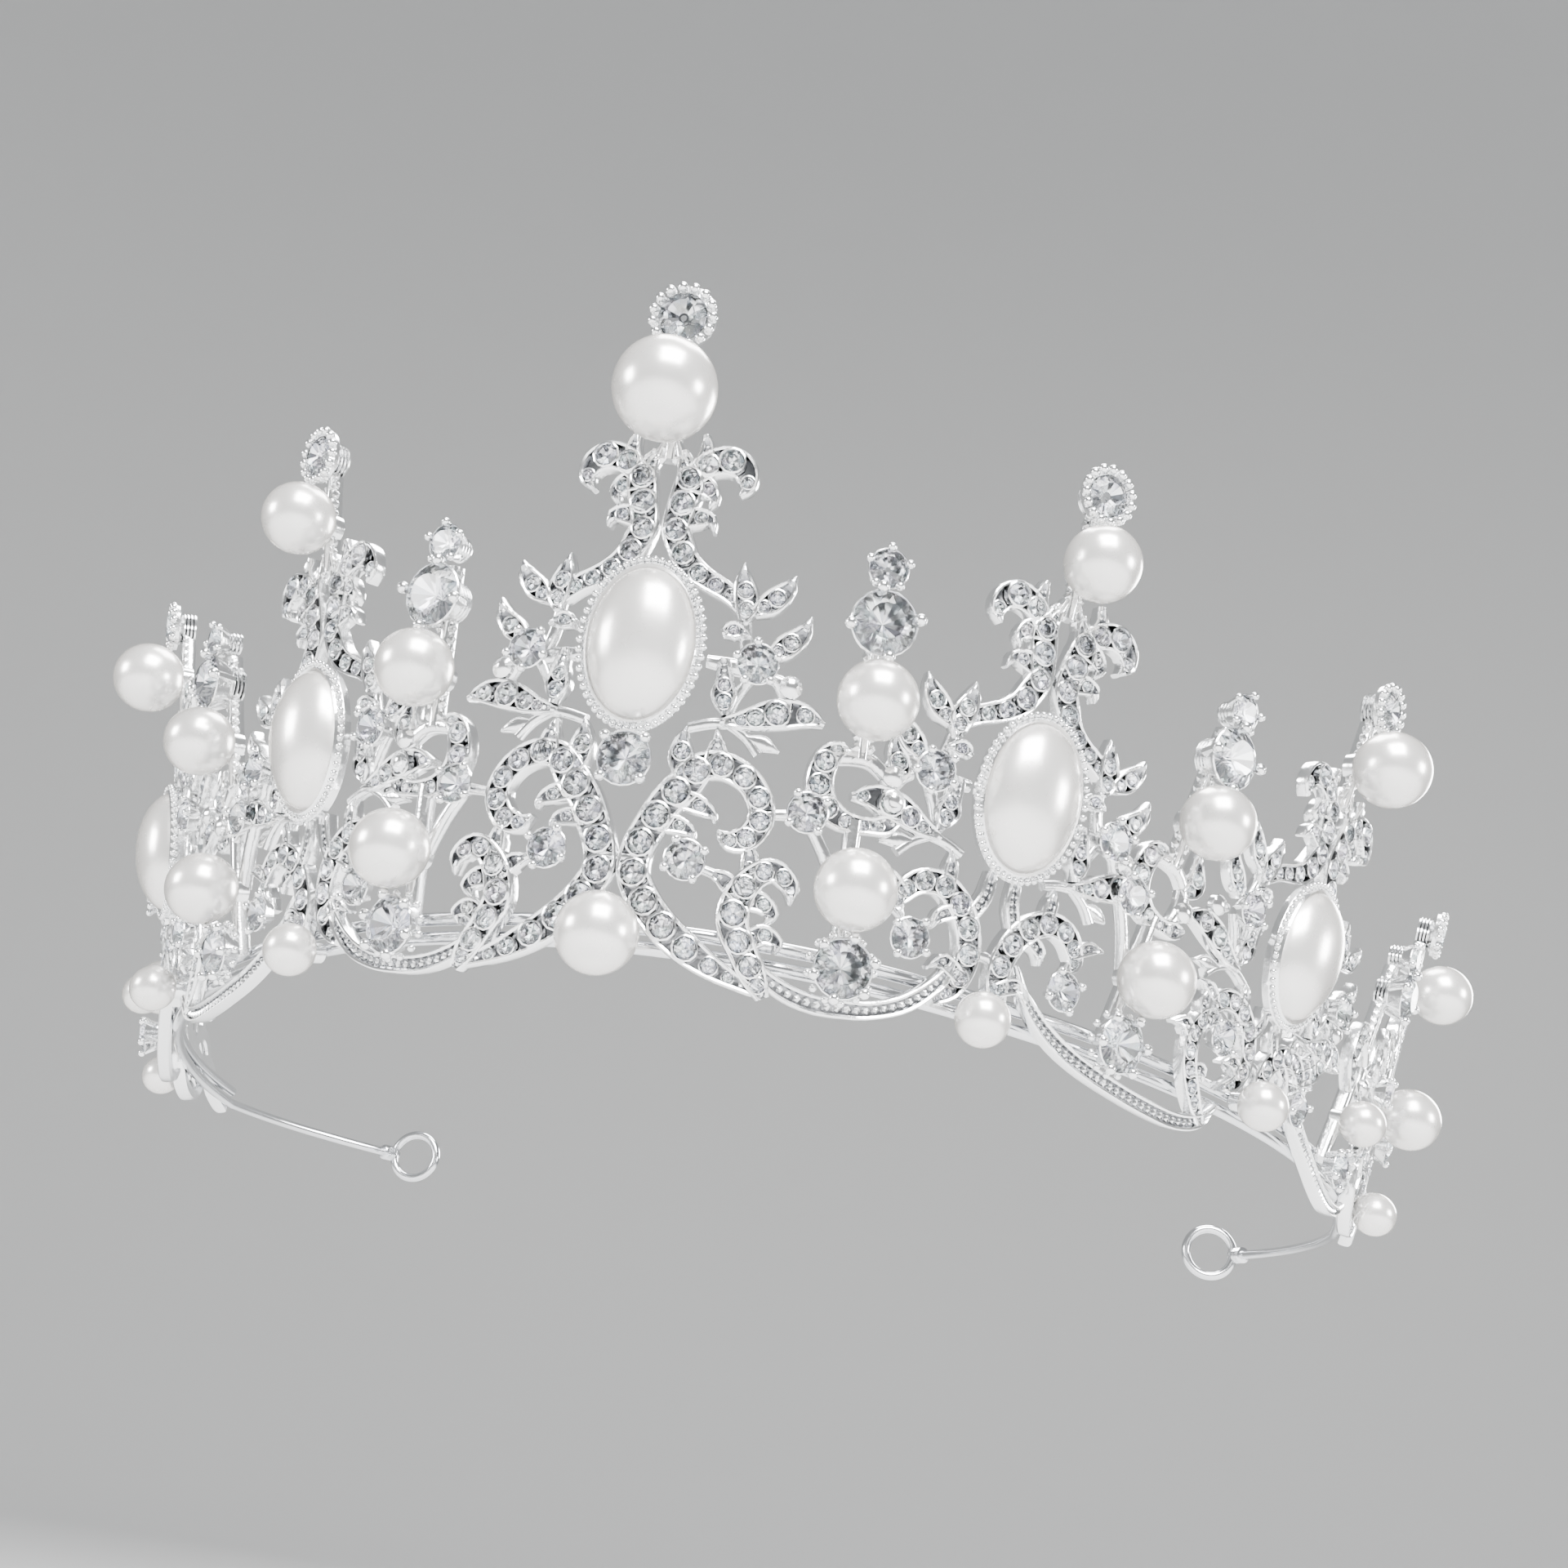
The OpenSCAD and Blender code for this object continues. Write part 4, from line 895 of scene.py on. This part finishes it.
# Stage: a round pale floor that curves up into a wall
stage = {"floor": -0.11, "flat": 1.7, "bend": 0.8, "top": 5}
cove = bmesh.new()
profile = [(0, stage["floor"]), (stage["flat"], stage["floor"])]
profile += [(stage["flat"] + stage["bend"] * math.sin(t), stage["floor"] + stage["bend"] * (1 - math.cos(t)))
            for t in [math.pi / 20 * k for k in range(1, 11)]]
line = [cove.verts.new((x, 0, z)) for x, z in profile + [(stage["flat"] + stage["bend"], stage["top"])]]
edges = [cove.edges.new(pair) for pair in zip(line, line[1:])]
bmesh.ops.spin(cove, geom=line + edges, axis=(0, 0, 1), cent=(0, 0, 0), steps=72, angle=math.tau,
               use_merge=True)
bmesh.ops.remove_doubles(cove, verts=[v for v in cove.verts if v.co.xy.length < 1e-5], dist=1e-5)
bmesh.ops.recalc_face_normals(cove, faces=cove.faces)
bmesh.ops.reverse_faces(cove, faces=cove.faces)
coveMesh = bpy.data.meshes.new("cove")
for f in cove.faces:
    f.smooth = True
cove.to_mesh(coveMesh)
cove.free()
backdrop = bpy.data.objects.new("backdrop", coveMesh)
bpy.context.scene.collection.objects.link(backdrop)
paper = Paint("paper")
paperPlace = paper.node("ShaderNodeTexCoord", output="Object")
paperCloud = paper.node("ShaderNodeTexNoise", None, {"Vector": paperPlace, "Scale": 3, "Detail": 2})
paper.set(Base_Color=paper.mix(paperCloud * 0.1, rgba(look["stage"]), (0.67, 0.67, 0.67, 1)), Roughness=0.9)
coveMesh.materials.append(paper.mat)
print("made stage")

world = bpy.data.worlds.new("studio")
world.use_nodes = True
bpy.context.scene.world = world
background = world.node_tree.nodes["Background"]
background.inputs[0].default_value = (0.88, 0.9, 0.93, 1)
background.inputs[1].default_value = 1.2

# Soft lights in metres; each one faces the tiara unless it has an aim of its own
lightAim = (0, -0.03, 0.03)
lights = {
    "key": {"place": (0.12, -0.42, 0.42), "size": 0.34, "power": 14},
    "fill": {"place": (-0.5, -0.3, 0.12), "size": 0.16, "power": 3},
    "top": {"place": (0.0, 0.1, 0.55), "size": 0.3, "power": 6},
    "rim": {"place": (0.32, 0.42, 0.24), "size": 0.22, "power": 4},
    "side": {"place": (0.55, -0.1, 0.1), "size": 0.14, "power": 2.5},
    "wall": {"place": (0, 0.75, 0.9), "size": 1.2, "power": 8, "aim": (0, 2.4, 0)},
}
for name, own in lights.items():
    lamp = bpy.data.lights.new(name, "AREA")
    lamp.size, lamp.energy = own["size"], own["power"]
    obj = bpy.data.objects.new(name, lamp)
    bpy.context.scene.collection.objects.link(obj)
    obj.location = own["place"]
    obj.visible_camera = False
    obj.rotation_mode = "QUATERNION"
    away = Vector(own["place"]) - Vector(own.get("aim", lightAim))
    obj.rotation_quaternion = away.to_track_quat("Z", "Y")

# Camera: where it stands and what it looks at in millimetres, roll in degrees, near and far in metres
shot = {"place": (44.64, -222.2, -46.41), "aim": (13.0, -55.0, 26.1), "roll": 8.83, "lens": 41.19, "film": 36,
        "near": 0.01, "far": 20}
cameraData = bpy.data.cameras.new("camera")
cameraData.lens, cameraData.sensor_width = shot["lens"], shot["film"]
cameraData.clip_start, cameraData.clip_end = shot["near"], shot["far"]
camera = bpy.data.objects.new("camera", cameraData)
bpy.context.scene.collection.objects.link(camera)
place, aim = Vector(shot["place"]) * mm, Vector(shot["aim"]) * mm
level = (place - aim).to_track_quat("Z", "Y").to_matrix().to_4x4()
camera.rotation_mode = "QUATERNION"
camera.location = place
camera.rotation_quaternion = (level @ Matrix.Rotation(math.radians(shot["roll"]), 4, "Z")).to_quaternion()
bpy.context.scene.camera = camera

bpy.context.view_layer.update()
